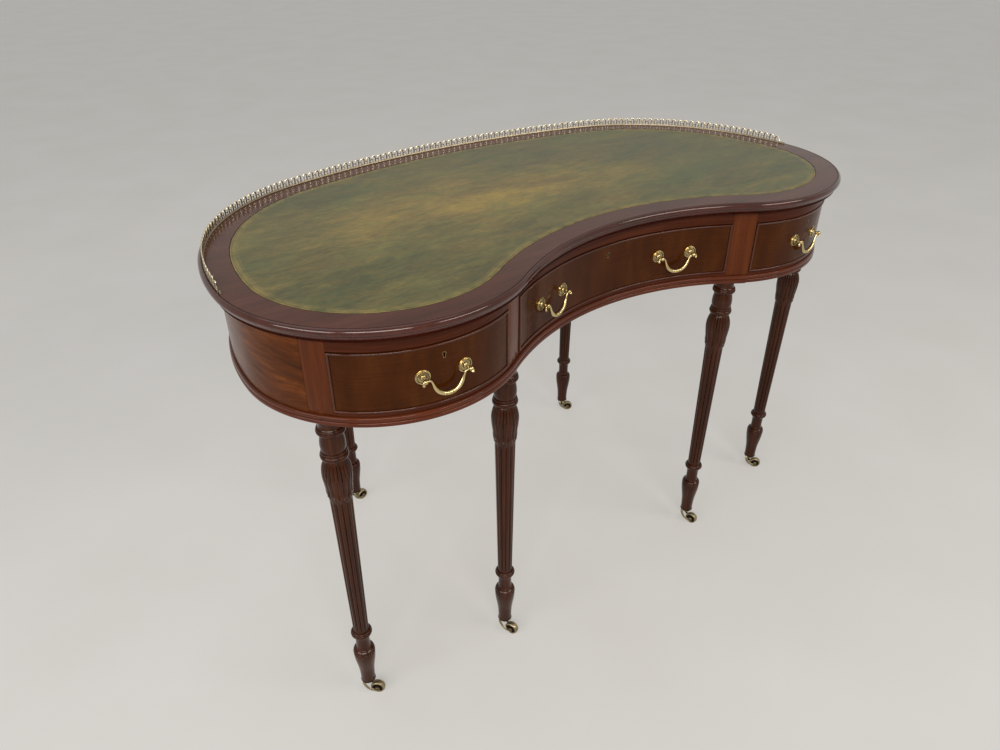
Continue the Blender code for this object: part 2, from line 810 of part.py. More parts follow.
def drawer_box(name, left, right, back, prism):
    """Open-topped box behind a drawer front. Its forward edges follow the front's inner face."""
    bottom = DRAWER_OPENING_BOTTOM + GAP
    front = FRONT_Y - CENTRE_Y - OVERRUN
    tray = box(name, (left, front, bottom), (right, back, bottom + DRAWER_BOX_HEIGHT), drawer_oak())
    hollow_low = (left + DRAWER_SIDE, front - OVERRUN, bottom + DRAWER_BOTTOM)
    hollow_high = (right - DRAWER_SIDE, back - DRAWER_SIDE, bottom + DRAWER_BOX_HEIGHT + OVERRUN)
    boolean(tray, as_cutter(box(name + "_hollow", hollow_low, hollow_high)))
    boolean(tray, prism, "INTERSECT")
    return settle(tray)


def block_corner_x(which):
    """Innermost x of an outer front block, which the side drawer has to pass."""
    place, turn = leg_place(which)
    half = LEG_BLOCK / 2
    return abs(place.x) - half * (abs(math.cos(turn)) + abs(math.sin(turn)))


def make_drawers(prism):
    inner_x = abs(leg_place("inner_right")[0].x)
    half = LEG_BLOCK / 2
    near = inner_x + half + DRAWER_BOX_CLEARANCE
    far = block_corner_x("outer_right") - DRAWER_BOX_CLEARANCE
    centre_half = inner_x - half - DRAWER_BOX_CLEARANCE
    inset = FRIEZE_SETBACK + FRIEZE_THICKNESS
    side_front = rim_point(run_at_turn(math.pi), inset).y
    centre_front = rim_point(run_on_knee(INNER_LEG_ANGLE), inset).y
    handles = handle_runs()
    for name, start, end, lock, legs in (
        ("drawer_front_right", OUTER_RIGHT, INNER_RIGHT, handles["right"], ("outer_right", "inner_right")),
        ("drawer_front_centre", INNER_RIGHT, INNER_LEFT, HALF_RUN, ("inner_right", "inner_left")),
        ("drawer_front_left", INNER_LEFT, OUTER_LEFT, handles["left"], ("inner_left", "outer_left")),
    ):
        drawer_front(name, start, end, lock, legs)
    drawer_box("drawer_box_right", near, far, side_front + SIDE_DRAWER_LENGTH, prism)
    drawer_box("drawer_box_left", -far, -near, side_front + SIDE_DRAWER_LENGTH, prism)
    drawer_box("drawer_box_centre", -centre_half, centre_half, centre_front + CENTRE_DRAWER_LENGTH, prism)


def profile_beam(name, section, side, cutters):
    """Beam with a constant section in x and z. It runs back from the rails to the frieze's inner face."""
    reach = CENTRE_Y + OVERRUN
    rings = [[(side * x, y, z) for x, z in section] for y in (-reach, reach)]
    beam = loft(name, rings, drawer_oak())
    prism, rails, blocks = cutters
    boolean(beam, prism, "INTERSECT")
    for cutter in rails + [block_cutter(which, GAP) for which in blocks]:
        boolean(beam, cutter)
    return settle(beam)


def rail_cutters():
    """The space of both rails with a clearance, for the beams that end against them."""
    start, end = OUTER_RIGHT - GAP * 2, OUTER_LEFT + GAP * 2
    inner = FRIEZE_SETBACK + RAIL_DEPTH + GAP
    low = strip("rail_cut_low", start, end, 0.0, inner, 0.0, DRAWER_OPENING_BOTTOM + GAP)
    high = strip("rail_cut_high", start, end, 0.0, inner, TOP_RAIL_BOTTOM - GAP, DESK_HEIGHT)
    return [as_cutter(low), as_cutter(high)]


def make_partition(name, side, prism, rails):
    """Upright board between two drawers, with a runner ledge along both of its sides."""
    centre = abs(leg_place("inner_right")[0].x)
    web = PARTITION_THICKNESS / 2
    ledge = RUNNER_WIDTH / 2
    low, step, high = FRIEZE_BOTTOM, DRAWER_OPENING_BOTTOM, CARCASE_TOP
    section = (
        (centre - ledge, low),
        (centre + ledge, low),
        (centre + ledge, step),
        (centre + web, step),
        (centre + web, high),
        (centre - web, high),
        (centre - web, step),
        (centre - ledge, step),
    )
    legs = ("inner_right", "back_right") if side > 0 else ("inner_left", "back_left")
    return profile_beam(name, section, side, (prism, rails, legs))


def make_outer_runner(name, side, prism, rails):
    """Ledge and guide for the outer side of a side drawer."""
    edge = block_corner_x("outer_right") - DRAWER_BOX_CLEARANCE
    guide = edge + RUN_CLEARANCE
    outside = guide + GUIDE_THICKNESS
    low, step = FRIEZE_BOTTOM, DRAWER_OPENING_BOTTOM
    section = (
        (edge - OUTER_RUNNER_LEDGE, low),
        (outside, low),
        (outside, step + GUIDE_HEIGHT),
        (guide, step + GUIDE_HEIGHT),
        (guide, step),
        (edge - OUTER_RUNNER_LEDGE, step),
    )
    legs = ("outer_right",) if side > 0 else ("outer_left",)
    return profile_beam(name, section, side, (prism, rails, legs))


# Handles

def rose_seat(run):
    """Middle of the flat behind a rose, and the way it faces."""
    flat = (rim_point(run - SEAT_HALF, FRIEZE_SETBACK) + rim_point(run + SEAT_HALF, FRIEZE_SETBACK)) / 2
    flat.z = HANDLE_HEIGHT
    return flat, rim_frame(run)[1]


def eye_axis(handle):
    """Ends of the line through both post eyes: the bail's hinge axis."""
    ends = []
    for run in rose_runs(handle):
        seat, normal = rose_seat(run)
        ends.append(seat + normal * EYE_STANDOFF)
    return ends


def make_rose(name, run, axis_ends):
    """Dished round backplate with its post, and the eye that holds the bail."""
    profile = [
        (0.0, EYE_STANDOFF),
        (POST_RADIUS, EYE_STANDOFF),
        (POST_RADIUS, ROSE_RIM),
        (POST_RADIUS * 3 / 2, ROSE_DISH),
        (ROSE_RADIUS * 4 / 5, ROSE_DISH),
        (ROSE_RADIUS * 9 / 10, ROSE_RIM),
        (ROSE_RADIUS, GAP),
        (0.0, GAP),
    ]
    rose = turned(name, profile, ROSE_STEPS, polished_brass())
    seat, normal = rose_seat(run)
    rose.matrix_world = Matrix.Translation(seat) @ normal.to_track_quat("Z", "Y").to_matrix().to_4x4()
    along = (axis_ends[1] - axis_ends[0]).normalized()
    eye_place = seat + normal * EYE_STANDOFF
    turn = along.to_track_quat("Z", "Y").to_matrix().to_4x4()
    half = EYE_WIDTH / 2
    disc = [(0.0, half), (EYE_RADIUS, half), (EYE_RADIUS, -half), (0.0, -half)]
    knob = turned(name + "_eye", disc, POST_STEPS)
    knob.matrix_world = Matrix.Translation(eye_place) @ turn
    boolean(rose, as_cutter(settle(knob)), "UNION")
    bore_radius = BAIL_PIN_RADIUS + GAP
    drill = [(0.0, EYE_WIDTH), (bore_radius, EYE_WIDTH), (bore_radius, -EYE_WIDTH), (0.0, -EYE_WIDTH)]
    bore = turned(name + "_bore", drill, POST_STEPS)
    bore.matrix_world = Matrix.Translation(eye_place) @ turn
    boolean(rose, as_cutter(settle(bore)))
    return settle(rose)


def make_bail(name, axis_ends):
    """Swan-neck bail: a tapering wire that passes through both eyes and curls down outside them."""
    middle = (axis_ends[0] + axis_ends[1]) / 2
    along = (axis_ends[1] - axis_ends[0]).normalized()
    half = (axis_ends[1] - axis_ends[0]).length / 2
    eye = EYE_RADIUS
    pin = BAIL_PIN_RADIUS
    drop = BAIL_DROP
    right = [
        (half + eye + BAIL_CURL * 2 / 3, -BAIL_CURL, pin),
        (half + eye + BAIL_CURL * 2 / 3, -BAIL_CURL / 3, pin),
        (half + eye, 0.0, pin),
        (half - eye, 0.0, pin),
        (half - eye - BAIL_SHOULDER, -drop / 5, pin * 5 / 4),
        (half - eye - BAIL_SHOULDER * 5 / 2, -drop * 13 / 20, pin * 3 / 2),
        (half / 3, -drop * 9 / 10, BAIL_MIDDLE_RADIUS * 9 / 10),
    ]
    points = right + [(0.0, -drop, BAIL_MIDDLE_RADIUS)] + [(-u, z, r) for u, z, r in reversed(right)]
    curve = bpy.data.curves.new(name, "CURVE")
    curve.dimensions = "3D"
    curve.bevel_depth = pin
    curve.bevel_resolution = 1
    curve.use_fill_caps = True
    spline = curve.splines.new("POLY")
    spline.points.add(len(points) - 1)
    for place, (u, z, radius) in zip(spline.points, points):
        place.co = (*(along * u), 1.0)
        place.co[2] = z
        place.radius = radius / pin
    bail = add_object(name, curve, polished_brass())
    bail.location = middle
    return bail


def make_handles():
    for which, handle in handle_runs().items():
        ends = eye_axis(handle)
        for label, run in zip("ab", rose_runs(handle)):
            make_rose("rose_%s_%s" % (which, label), run, ends)
        make_bail("bail_" + which, ends)
        report_axis("bail_" + which, ends)


def report_axis(name, ends):
    middle = (ends[0] + ends[1]) / 2
    along = (ends[0] - ends[1]).normalized()
    place = tuple(round(value, 5) for value in middle)
    direction = tuple(round(value, 5) for value in along)
    print("axis", name, "through", place, "along", direction)


# Castors

TRAIL_ANGLES = {
    "outer_left": -43 * DEGREE,
    "inner_left": -68 * DEGREE,
    "inner_right": -74 * DEGREE,
    "outer_right": -50 * DEGREE,
    "back_left": 8 * DEGREE,
    "back_right": -33 * DEGREE,
}


def castor_plate(name):
    """Plate under the toe with the pintle that the horn turns on."""
    bottom = FOOT_HEIGHT - GAP - PLATE_THICKNESS
    profile = [
        (0.0, bottom + PLATE_THICKNESS),
        (PLATE_RADIUS, bottom + PLATE_THICKNESS),
        (PLATE_RADIUS * 7 / 8, bottom),
        (PINTLE_RADIUS, bottom),
        (PINTLE_RADIUS, bottom - GAP - CROWN_THICKNESS),
        (0.0, bottom - GAP - CROWN_THICKNESS),
    ]
    return settle(turned(name, profile, CASTOR_STEPS, aged_brass()))


def castor_arm(name, side):
    """Flat cheek from the crown down to the axle, drawn in trail and height, one each side of the wheel."""
    crown_top = FOOT_HEIGHT - PLATE_THICKNESS - GAP * 2
    crown_bottom = crown_top - CROWN_THICKNESS
    axle = Vector((CASTOR_TRAIL, AXLE_HEIGHT))
    points = [(-CROWN_RADIUS / 2, crown_top), (-CROWN_RADIUS / 2, crown_bottom)]
    points += [
        (axle.x + ARM_EYE * math.cos(angle * DEGREE), axle.y + ARM_EYE * math.sin(angle * DEGREE))
        for angle in (205, 250, 295, 340, 25)
    ]
    points.append((CROWN_RADIUS * 3 / 4, crown_top))
    arm = flat_outline(name, points, -ARM_THICKNESS / 2, ARM_THICKNESS / 2)
    arm.matrix_world = Matrix.Translation(
        (0.0, side * (WHEEL_WIDTH / 2 + SIDE_CLEARANCE + ARM_THICKNESS / 2), 0.0)
    ) @ Matrix.Rotation(math.pi / 2, 4, "X")
    return as_cutter(settle(arm))


def castor_horn():
    """Crown with its pintle hole, two cheeks and the axle, trailing along +X of its own axes."""
    crown_top = FOOT_HEIGHT - PLATE_THICKNESS - GAP * 2
    crown_bottom = crown_top - CROWN_THICKNESS
    crown = [
        (PINTLE_RADIUS + GAP, crown_top),
        (CROWN_RADIUS, crown_top),
        (CROWN_RADIUS, crown_bottom),
        (PINTLE_RADIUS + GAP, crown_bottom),
    ]
    horn = turned("horn_master", crown, CASTOR_STEPS, aged_brass())
    reach = WHEEL_WIDTH / 2 + SIDE_CLEARANCE + ARM_THICKNESS + GAP
    axle_profile = [(0.0, reach), (AXLE_RADIUS, reach), (AXLE_RADIUS, -reach), (0.0, -reach)]
    axle = turned("horn_axle", axle_profile, CASTOR_STEPS // 2)
    axle.matrix_world = Matrix.Translation((CASTOR_TRAIL, 0.0, AXLE_HEIGHT)) @ Matrix.Rotation(math.pi / 2, 4, "X")
    for side, label in ((1, "left"), (-1, "right")):
        boolean(horn, castor_arm("horn_arm_" + label, side), "UNION")
    boolean(horn, as_cutter(settle(axle)), "UNION")
    return as_cutter(settle(horn))


def castor_wheel():
    """Brass roller with a rounded tread and its axle hole, turned about its own Z, a flat at -Y."""
    half = WHEEL_WIDTH / 2
    bore = AXLE_RADIUS + GAP
    profile = [
        (bore, half),
        (WHEEL_RADIUS - WHEEL_CROWN, half),
        (WHEEL_RADIUS, 0.0),
        (WHEEL_RADIUS - WHEEL_CROWN, -half),
        (bore, -half),
    ]
    wheel = settle(turned("wheel_master", profile, WHEEL_STEPS, aged_brass()))
    wheel.data.transform(Matrix.Rotation(math.pi / WHEEL_STEPS - math.pi / 2, 4, "Z"))
    return as_cutter(wheel)


def make_castors():
    horn_master = castor_horn()
    wheel_master = castor_wheel()
    plate_master = as_cutter(castor_plate("plate_master"))
    for which, angle in TRAIL_ANGLES.items():
        place = leg_place(which)[0]
        plate = add_object("castor_plate_" + which, plate_master.data, None)
        plate.location = place
        horn = add_object("castor_horn_" + which, horn_master.data, None)
        horn.location = place
        horn.rotation_euler.z = angle
        wheel = add_object("castor_wheel_" + which, wheel_master.data, None)
        trail = Matrix.Rotation(angle, 4, "Z") @ Vector((CASTOR_TRAIL, 0.0, AXLE_HEIGHT))
        wheel.matrix_world = (
            Matrix.Translation(place + trail) @ Matrix.Rotation(angle, 4, "Z") @ Matrix.Rotation(math.pi / 2, 4, "X")
        )
        print("castor", which, "swivel", tuple(round(v, 5) for v in place), "wheel", tuple(round(v, 5) for v in place + trail))


# Assembly

def main():
    make_board()
    make_leather()
    make_gallery()
    carcase = interior_prism("carcase_face", FRIEZE_SETBACK, 0.0, DESK_HEIGHT)
    inside = interior_prism("carcase_inside", FRIEZE_SETBACK + FRIEZE_THICKNESS + GAP, 0.0, DESK_HEIGHT)
    turning = leg_turning()
    for which in LEG_RUNS:
        make_leg(which, turning, carcase)
    lap = 2 * HALF_RUN
    make_panel("back_panel", BACK_LEFT - lap, BACK_RIGHT, ("back_left", "back_right"))
    make_panel("end_panel_right", BACK_RIGHT, OUTER_RIGHT, ("back_right", "outer_right"))
    make_panel("end_panel_left", OUTER_LEFT, BACK_LEFT, ("outer_left", "back_left"))
    make_rail("top_rail", TOP_RAIL_BOTTOM, CARCASE_TOP)
    make_rail("bottom_rail", FRIEZE_BOTTOM, DRAWER_OPENING_BOTTOM)
    make_moulding("moulding_front", OUTER_RIGHT + GAP / 2, OUTER_LEFT - GAP / 2)
    make_moulding("moulding_back", OUTER_LEFT - lap + GAP / 2, OUTER_RIGHT - GAP / 2)
    make_drawers(inside)
    rails = rail_cutters()
    make_partition("partition_right", 1, inside, rails)
    make_partition("partition_left", -1, inside, rails)
    make_outer_runner("outer_runner_right", 1, inside, rails)
    make_outer_runner("outer_runner_left", -1, inside, rails)
    make_handles()
    make_castors()
    for made in DESK.objects:
        if made.type == "MESH":
            smooth(made)


main()
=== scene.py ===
# %% [markdown]
# # A kidney shaped writing desk
# The imported model is the fixed frame: every part of the desk already stands in its place, in metres.
# This lesson dresses it. Each faceted part is replaced by a smooth one that is worked out with numpy,
# and each surface gets a finish made of nodes.

# %% Load the frame
import math

import bpy
import numpy as np
from mathutils import Matrix, Vector


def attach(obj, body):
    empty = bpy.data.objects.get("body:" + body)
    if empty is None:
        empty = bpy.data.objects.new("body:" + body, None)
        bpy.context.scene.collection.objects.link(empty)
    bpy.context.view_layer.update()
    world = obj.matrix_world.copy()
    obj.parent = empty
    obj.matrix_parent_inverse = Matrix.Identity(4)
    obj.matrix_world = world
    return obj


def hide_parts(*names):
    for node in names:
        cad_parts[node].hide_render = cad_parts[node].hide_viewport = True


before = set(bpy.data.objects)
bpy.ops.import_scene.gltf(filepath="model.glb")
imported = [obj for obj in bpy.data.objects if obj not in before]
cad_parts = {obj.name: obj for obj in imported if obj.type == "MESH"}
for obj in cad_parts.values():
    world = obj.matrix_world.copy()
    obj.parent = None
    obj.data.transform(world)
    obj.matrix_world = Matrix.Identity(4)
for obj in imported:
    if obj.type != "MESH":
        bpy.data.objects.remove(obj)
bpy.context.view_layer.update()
MM = 0.001

# %% [markdown]
# ## The outline
# The top is a kidney: four arcs run from the middle of the back round the end to the lobe, each tangent
# to the next, and a hollow arc in front closes them on the centre line. A drawn spline could follow the
# same shape, but joined arcs are how a workshop sets it out with trammels, and they give the outward
# normal exactly. Everything round the desk hangs on this one line.

# %% Arcs of the outline
ARC_RADII = np.array([1380, 348, 480, 238]) * MM
ARC_TURNS = np.radians([14.4, 58.2, 16.7, 123.9])


def chain_of_arcs():
    """Each centre lies one radius behind the arc's start, against its normal (sin turn, cos turn).

    The hollow's radius is the chain's end x over the sine of how far the chain has turned past half.
    """
    centres, turns, lengths = [], [0.0], [0.0]
    x = y = 0.0
    for radius, turn in zip(ARC_RADII, ARC_TURNS):
        centre = (x - radius * math.sin(turns[-1]), y - radius * math.cos(turns[-1]))
        centres.append(centre)
        turns.append(turns[-1] + turn)
        lengths.append(lengths[-1] + radius * turn)
        x = centre[0] + radius * math.sin(turns[-1])
        y = centre[1] + radius * math.cos(turns[-1])
    over = turns[-1] - math.pi
    hollow = x / math.sin(over)
    centres.append((0.0, y - hollow * math.cos(over)))
    return np.array(centres), np.append(ARC_RADII, -hollow), np.array(turns), np.array(lengths)


ARC_CENTRES, ARC_RADIUS, ARC_START, ARC_LENGTH = chain_of_arcs()
HOLLOW = -ARC_RADIUS[-1]
HALF_LAP = ARC_LENGTH[-1] + HOLLOW * (ARC_START[-1] - math.pi)
LAP = 2 * HALF_LAP
# The back lies at y = 0 and the lobes reach to their centre less their radius: half way is the middle.
MIDDLE_Y = (ARC_CENTRES[3, 1] - ARC_RADII[3]) / 2
print("once round the edge: %.3f m, hollow radius %.3f m" % (LAP, HOLLOW))

# %% Points along the edge
def edge_at(run):
    """Point and outward normal at a length along the edge: centre plus radius times (sin turn, cos turn).

    The turn grows by length over radius. The left half is the right half with x reversed.
    """
    run = np.mod(run, LAP)
    left = run > HALF_LAP
    folded = np.where(left, LAP - run, run)
    arc = np.clip(np.searchsorted(ARC_LENGTH, folded, side="right") - 1, 0, len(ARC_RADII))
    turn = ARC_START[arc] + (folded - ARC_LENGTH[arc]) / ARC_RADIUS[arc]
    normal = np.stack([np.sin(turn), np.cos(turn)], -1)
    point = ARC_CENTRES[arc] + ARC_RADIUS[arc][..., None] * normal - np.array([0.0, MIDDLE_Y])
    side = np.stack([np.where(left, -1.0, 1.0), np.ones_like(run)], -1)
    return point * side, normal * side


def inside_edge(run, inset, height):
    """Points a distance inside the edge, at a height: the edge minus normal times inset."""
    run, inset, height = np.broadcast_arrays(run, inset, height)
    point, normal = edge_at(run)
    return np.concatenate([point - normal * inset[..., None], height[..., None]], -1)


def run_at_turn(turn):
    """Length at which the edge has turned so far, on the four outer arcs."""
    arc = int(np.searchsorted(ARC_START, turn, side="left")) - 1
    return ARC_LENGTH[arc] + ARC_RADIUS[arc] * (turn - ARC_START[arc])


span = edge_at(np.linspace(0, LAP, 2000))[0]
print("top measures", np.round(np.ptp(span, axis=0), 4))

# %% [markdown]
# ## From arrays to pieces
# A surface is a grid of points: rows along one parameter, columns along the other. One function joins a
# grid's neighbours into faces, one makes the mesh, and one gives the finished piece to the desk. The mesh
# also keeps its own map, named grain, in metres: u runs along the wood's fibres and v across them, so
# that a pattern can follow a curved rail as veneer does.

# %% Grids and shells
def grid_faces(rows, columns, close_rows=False, close_columns=False):
    """Four corners per cell: a point, its neighbour in the row, and the two above them."""
    across = columns if close_columns else columns - 1
    along = rows if close_rows else rows - 1
    i, j = np.meshgrid(np.arange(along), np.arange(across), indexing="ij")
    up, right = (i + 1) % rows, (j + 1) % columns
    cells = [i * columns + j, i * columns + right, up * columns + right, up * columns + j]
    return np.stack(cells, -1).reshape(-1, 4).tolist()


def grain_map(u, v):
    """Pairs (u, v) for a whole grid, from two arrays that spread over it."""
    return np.stack(np.broadcast_arrays(u, v), -1)


def volume_of(points, faces):
    """Signed volume: a sixth of the sum of first corner dot (next cross after), over each face's fan."""
    quads = np.array([face for face in faces if len(face) == 4])
    a, b, c, d = (points[quads[:, k]] for k in range(4))
    total = np.sum(a * np.cross(b, c)) + np.sum(a * np.cross(c, d))
    for face in faces:
        if len(face) != 4:
            corner = points[face]
            total += np.sum(corner[0] * np.cross(corner[1:-1], corner[2:]))
    return total / 6


class Shells:
    """Collects closed shells for one piece: their points, faces and grain map."""

    def __init__(self):
        self.points, self.faces, self.grain, self.count = [], [], [], 0

    def take(self, points, faces, grain):
        """One closed shell. A negative volume means that its faces look inwards, so they are reversed."""
        if volume_of(points, faces) < 0:
            faces = [face[::-1] for face in faces]
        self.points.append(points)
        self.grain.append(grain)
        self.faces += [[corner + self.count for corner in face] for face in faces]
        self.count += len(points)
        return self

    def add(self, grid, grain=None, ring=False):
        """One grid whose rows are closed lines. A ring joins its last row to its first; any other grid is
        closed by one face on each of the two."""
        rows, columns = grid.shape[:2]
        faces = grid_faces(rows, columns, close_rows=ring, close_columns=True)
        if not ring:
            faces.append(list(range(columns))[::-1])
            faces.append(list(range((rows - 1) * columns, rows * columns)))
        grain = grid[..., :2] if grain is None else np.broadcast_to(grain, (rows, columns, 2))
        return self.take(grid.reshape(-1, 3), faces, grain.reshape(-1, 2))


# %% Meshes and pieces
# Two faces that meet at more than this many degrees keep a sharp edge between them.
SHARP = 32


def new_mesh(name, points, faces):
    """Mesh from an array of points and a list of faces."""
    mesh = bpy.data.meshes.new(name)
    mesh.from_pydata(points.reshape(-1, 3).tolist(), [], faces)
    return mesh


def new_object(name, data):
    """An object of the scene, at the origin."""
    made = bpy.data.objects.new(name, data)
    bpy.context.scene.collection.objects.link(made)
    return made


def make_piece(name, shells, finish, body, replaces=(), sharp=SHARP):
    """Mesh from the shells, shaded smooth up to an angle in degrees, riding on its body."""
    mesh = new_mesh(name, np.concatenate(shells.points), shells.faces)
    corners = np.empty(len(mesh.loops), dtype=np.int32)
    mesh.loops.foreach_get("vertex_index", corners)
    layer = mesh.uv_layers.new(name="grain")
    layer.data.foreach_set("uv", np.concatenate(shells.grain)[corners].ravel())
    mesh.shade_smooth()
    mesh.set_sharp_from_angle(angle=math.radians(sharp))
    mesh.materials.append(finish)
    piece = new_object(name, mesh)
    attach(piece, body)
    if replaces:
        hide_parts(*replaces)
    return piece


def second_finish(piece, finish, chosen):
    """Gives the chosen faces, true in an array over the first faces of the mesh, another finish."""
    piece.data.materials.append(finish)
    index = np.zeros(len(piece.data.polygons), dtype=np.int32)
    index[:len(chosen)] = chosen
    piece.data.polygons.foreach_set("material_index", index)


# %% Rounded profiles
def rounded(points, steps):
    """Smooth line through given points: each stretch is a cubic that leaves a point along the chord of
    its neighbours (Catmull-Rom). A point written twice makes a corner, and doubles are left out."""
    p = np.array(points, dtype=float)
    before, after = np.vstack([2 * p[0] - p[1], p[:-1]]), np.vstack([p[1:], 2 * p[-1] - p[-2]])
    lean = (after - before) / 2
    t = np.linspace(0, 1, steps, endpoint=False)[None, :, None]
    a, b, la, lb = p[:-1, None], p[1:, None], lean[:-1, None], lean[1:, None]
    line = (2 * t**3 - 3 * t**2 + 1) * a + (t**3 - 2 * t**2 + t) * la
    line = line + (-2 * t**3 + 3 * t**2) * b + (t**3 - t**2) * lb
    line = np.vstack([line.reshape(-1, p.shape[1]), p[-1]])
    kept = np.append(True, np.linalg.norm(np.diff(line, axis=0), axis=1) > 1e-6)
    return line[kept]


def mirrored(half, flip):
    """The line and its mirror image, joined at its last point: each coordinate is multiplied by flip."""
    return np.vstack([half, half[-2::-1] * flip])


def unit(vectors):
    """The same directions with length 1: each vector over its own length."""
    return vectors / np.linalg.norm(vectors, axis=-1, keepdims=True)


def round_angles(count):
    """Even steps of angle, once round."""
    return np.linspace(0, 2 * math.pi, count, endpoint=False)


def lathe(radius, height, angle):
    """Grid of (radius cos a, radius sin a, height): a row for each height, a column for each angle."""
    return np.stack([radius * np.cos(angle), radius * np.sin(angle), height + 0 * angle], -1)


def turned(profile, sides):
    """A turning from its profile of (radius, height). Rows climb the profile."""
    return lathe(profile[:, :1], profile[:, 1:], round_angles(sides))


def placed(grid, matrix):
    """The same grid, moved and turned: matrix times point."""
    m = np.array(matrix)
    return grid @ m[:3, :3].T + m[:3, 3]


# %% [markdown]
# ## Colours and nodes
# Colours are written as they look on a screen and are turned to linear light by one function. One more
# function adds a node: it sets what it is given, and links what comes from another node.

# %% Helpers for materials
def linear(code):
    """sRGB to linear: value over 12.92 near black, else ((value + 0.055) / 1.055) to the power 2.4."""
    value = np.array([int(code[i:i + 2], 16) for i in (1, 3, 5)]) / 255
    light = np.where(value <= 0.04045, value / 12.92, ((value + 0.055) / 1.055) ** 2.4)
    return (*light.tolist(), 1.0)


def fill(tree, node, inputs):
    """Inputs by name or number: a value is set, and another node's output is linked."""
    for key, value in inputs.items():
        if isinstance(value, bpy.types.NodeSocket):
            tree.links.new(value, node.inputs[key])
        else:
            node.inputs[key].default_value = value


def add(tree, kind, inputs=(), out=0, stops=(), **settings):
    """Adds a node and gives back one of its outputs, by name or number. Inputs in a tuple fill the sockets
    in order. The stops of a colour ramp are places with a hex colour, or with a number for a grey."""
    made = tree.nodes.new("ShaderNode" + kind)
    for key, value in settings.items():
        setattr(made, key, value)
    fill(tree, made, inputs if isinstance(inputs, dict) else dict(enumerate(inputs)))
    for i, (place, colour) in enumerate(stops):
        ramp = made.color_ramp.elements
        stop = ramp[i] if i < len(ramp) else ramp.new(place)
        stop.position = place
        stop.color = linear(colour) if isinstance(colour, str) else (colour, colour, colour, 1)
    return made.outputs[out]


def new_finish(name):
    """An empty node material, its tree and its shader."""
    finish = bpy.data.materials.new(name)
    finish.use_nodes = True
    return finish, finish.node_tree, finish.node_tree.nodes["Principled BSDF"]


# %% [markdown]
# ## Mahogany
# Every wooden part is Cuban-type mahogany under french polish, a film of amber shellac rubbed up until it
# shines. Three scales make it believable: broad figure 30 to 300 mm long, ribbons 1.5 to 3 mm wide along
# the fibres, and pores 0.3 mm wide and several millimetres long. Pores that fine would vanish in the picture,
# so they are drawn about twice as wide. Wood has an index of refraction near 1.5, but the old polish has
# sunk into it, so its own gloss is weak, broad and warm. The film left on top is a coat of a tenth to a
# fifth of full weight on flat faces, and of a third and more on edges, beads and legs, which hands and
# dusters have rubbed. It is smooth and draws the crisp light lines on every moulding.

# %% One recipe for all cuts of mahogany
# Tones at which a cut shows its darkest and its lightest colour. The middle one always lies at a half.
TONE_ENDS = (0.25, 0.75)
PORE_MM = (7, 0.6)


def mahogany(name, colours, figure, ribbon, ends=TONE_ENDS, source="UV", swirl=0.012, rough=(0.17, 0.26),
             gloss=0.12, polish=0.15, film=0.07):
    """figure is (length, width, strength) of the broad marks, ribbon that of the fine, in millimetres.

    Each layer is noise on a map squeezed so that one cell is that long along the fibres and that wide
    across. A slow noise, nine cells to the metre, first pushes the map sideways, which bends the fibres
    as in grown wood. Figure and ribbon together give a tone, and the colours run along it.
    """
    finish, tree, shader = new_finish(name)
    if source == "UV":
        place = add(tree, "UVMap", uv_map="grain")
    else:
        place = add(tree, "TexCoord", out="Object")
    slow = add(tree, "TexNoise", {"Vector": place, "Scale": 9.0, "Detail": 1.0}, "Color")
    centred = add(tree, "VectorMath", (slow, (0.5, 0.5, 0.5)), operation="SUBTRACT")
    push = add(tree, "VectorMath", {0: centred, "Scale": swirl}, operation="SCALE")
    bent = add(tree, "VectorMath", (place, push), operation="ADD")

    def layer(length, width, detail):
        shrink = (1 / (length * MM), 1 / (width * MM), 1 / (width * MM))
        squeezed = add(tree, "Mapping", {"Vector": bent, "Scale": shrink})
        return add(tree, "TexNoise", {"Vector": squeezed, "Scale": 1.0, "Detail": detail, "Roughness": 0.6})

    broad, fine, flecks = layer(*figure[:2], 2.0), layer(*ribbon[:2], 3.0), layer(*PORE_MM, 1.0)
    tone = add(tree, "Math", (broad, -0.5), operation="ADD")
    tone = add(tree, "Math", (tone, figure[2], 0.5), operation="MULTIPLY_ADD")
    streak = add(tree, "Math", (fine, -0.5), operation="ADD")
    tone = add(tree, "Math", (streak, ribbon[2], tone), operation="MULTIPLY_ADD")
    wood = add(tree, "ValToRGB", (tone,), stops=zip((ends[0], 0.5, ends[1]), colours))
    pores = add(tree, "ValToRGB", (flecks,), stops=[(0.60, 0), (0.70, 1)])
    deep = add(tree, "Math", (pores, 0.5), operation="MULTIPLY")
    fill(tree, shader, {
        "Base Color": add(tree, "MixRGB", (deep, wood, linear(colours[0]))),
        "Roughness": add(tree, "MapRange", (fine, 0.3, 0.7, *rough)),
        "Normal": add(tree, "Bump", {"Height": deep, "Strength": 0.25, "Distance": 0.15 * MM}, invert=True),
        "IOR": 1.5,
        "Specular IOR Level": gloss,
        "Specular Tint": linear("#ffcdb4"),
        "Coat Weight": polish,
        "Coat Roughness": film,
    })
    return finish


# %% The cuts of mahogany, each with its darkest, middle and lightest colour
# The top has faded most and looks brownest.
top_wood = mahogany("french_polished_mahogany_top", ("#3b1c13", "#512b20", "#61382c"),
                    (260, 40, 0.6), (70, 3, 0.4), (0.3, 0.72), gloss=0.15, polish=0.2)
# Its moulded edge is burnished by hands, so the film keeps nearly its full gloss there. Its darker colour
# is painted shade on the upright nose.
edge_wood = mahogany("burnished_edge_mahogany", ("#290d08", "#3d160c", "#4c2014"),
                     (260, 30, 0.6), (70, 3, 0.4), (0.3, 0.72), polish=0.8, film=0.12)
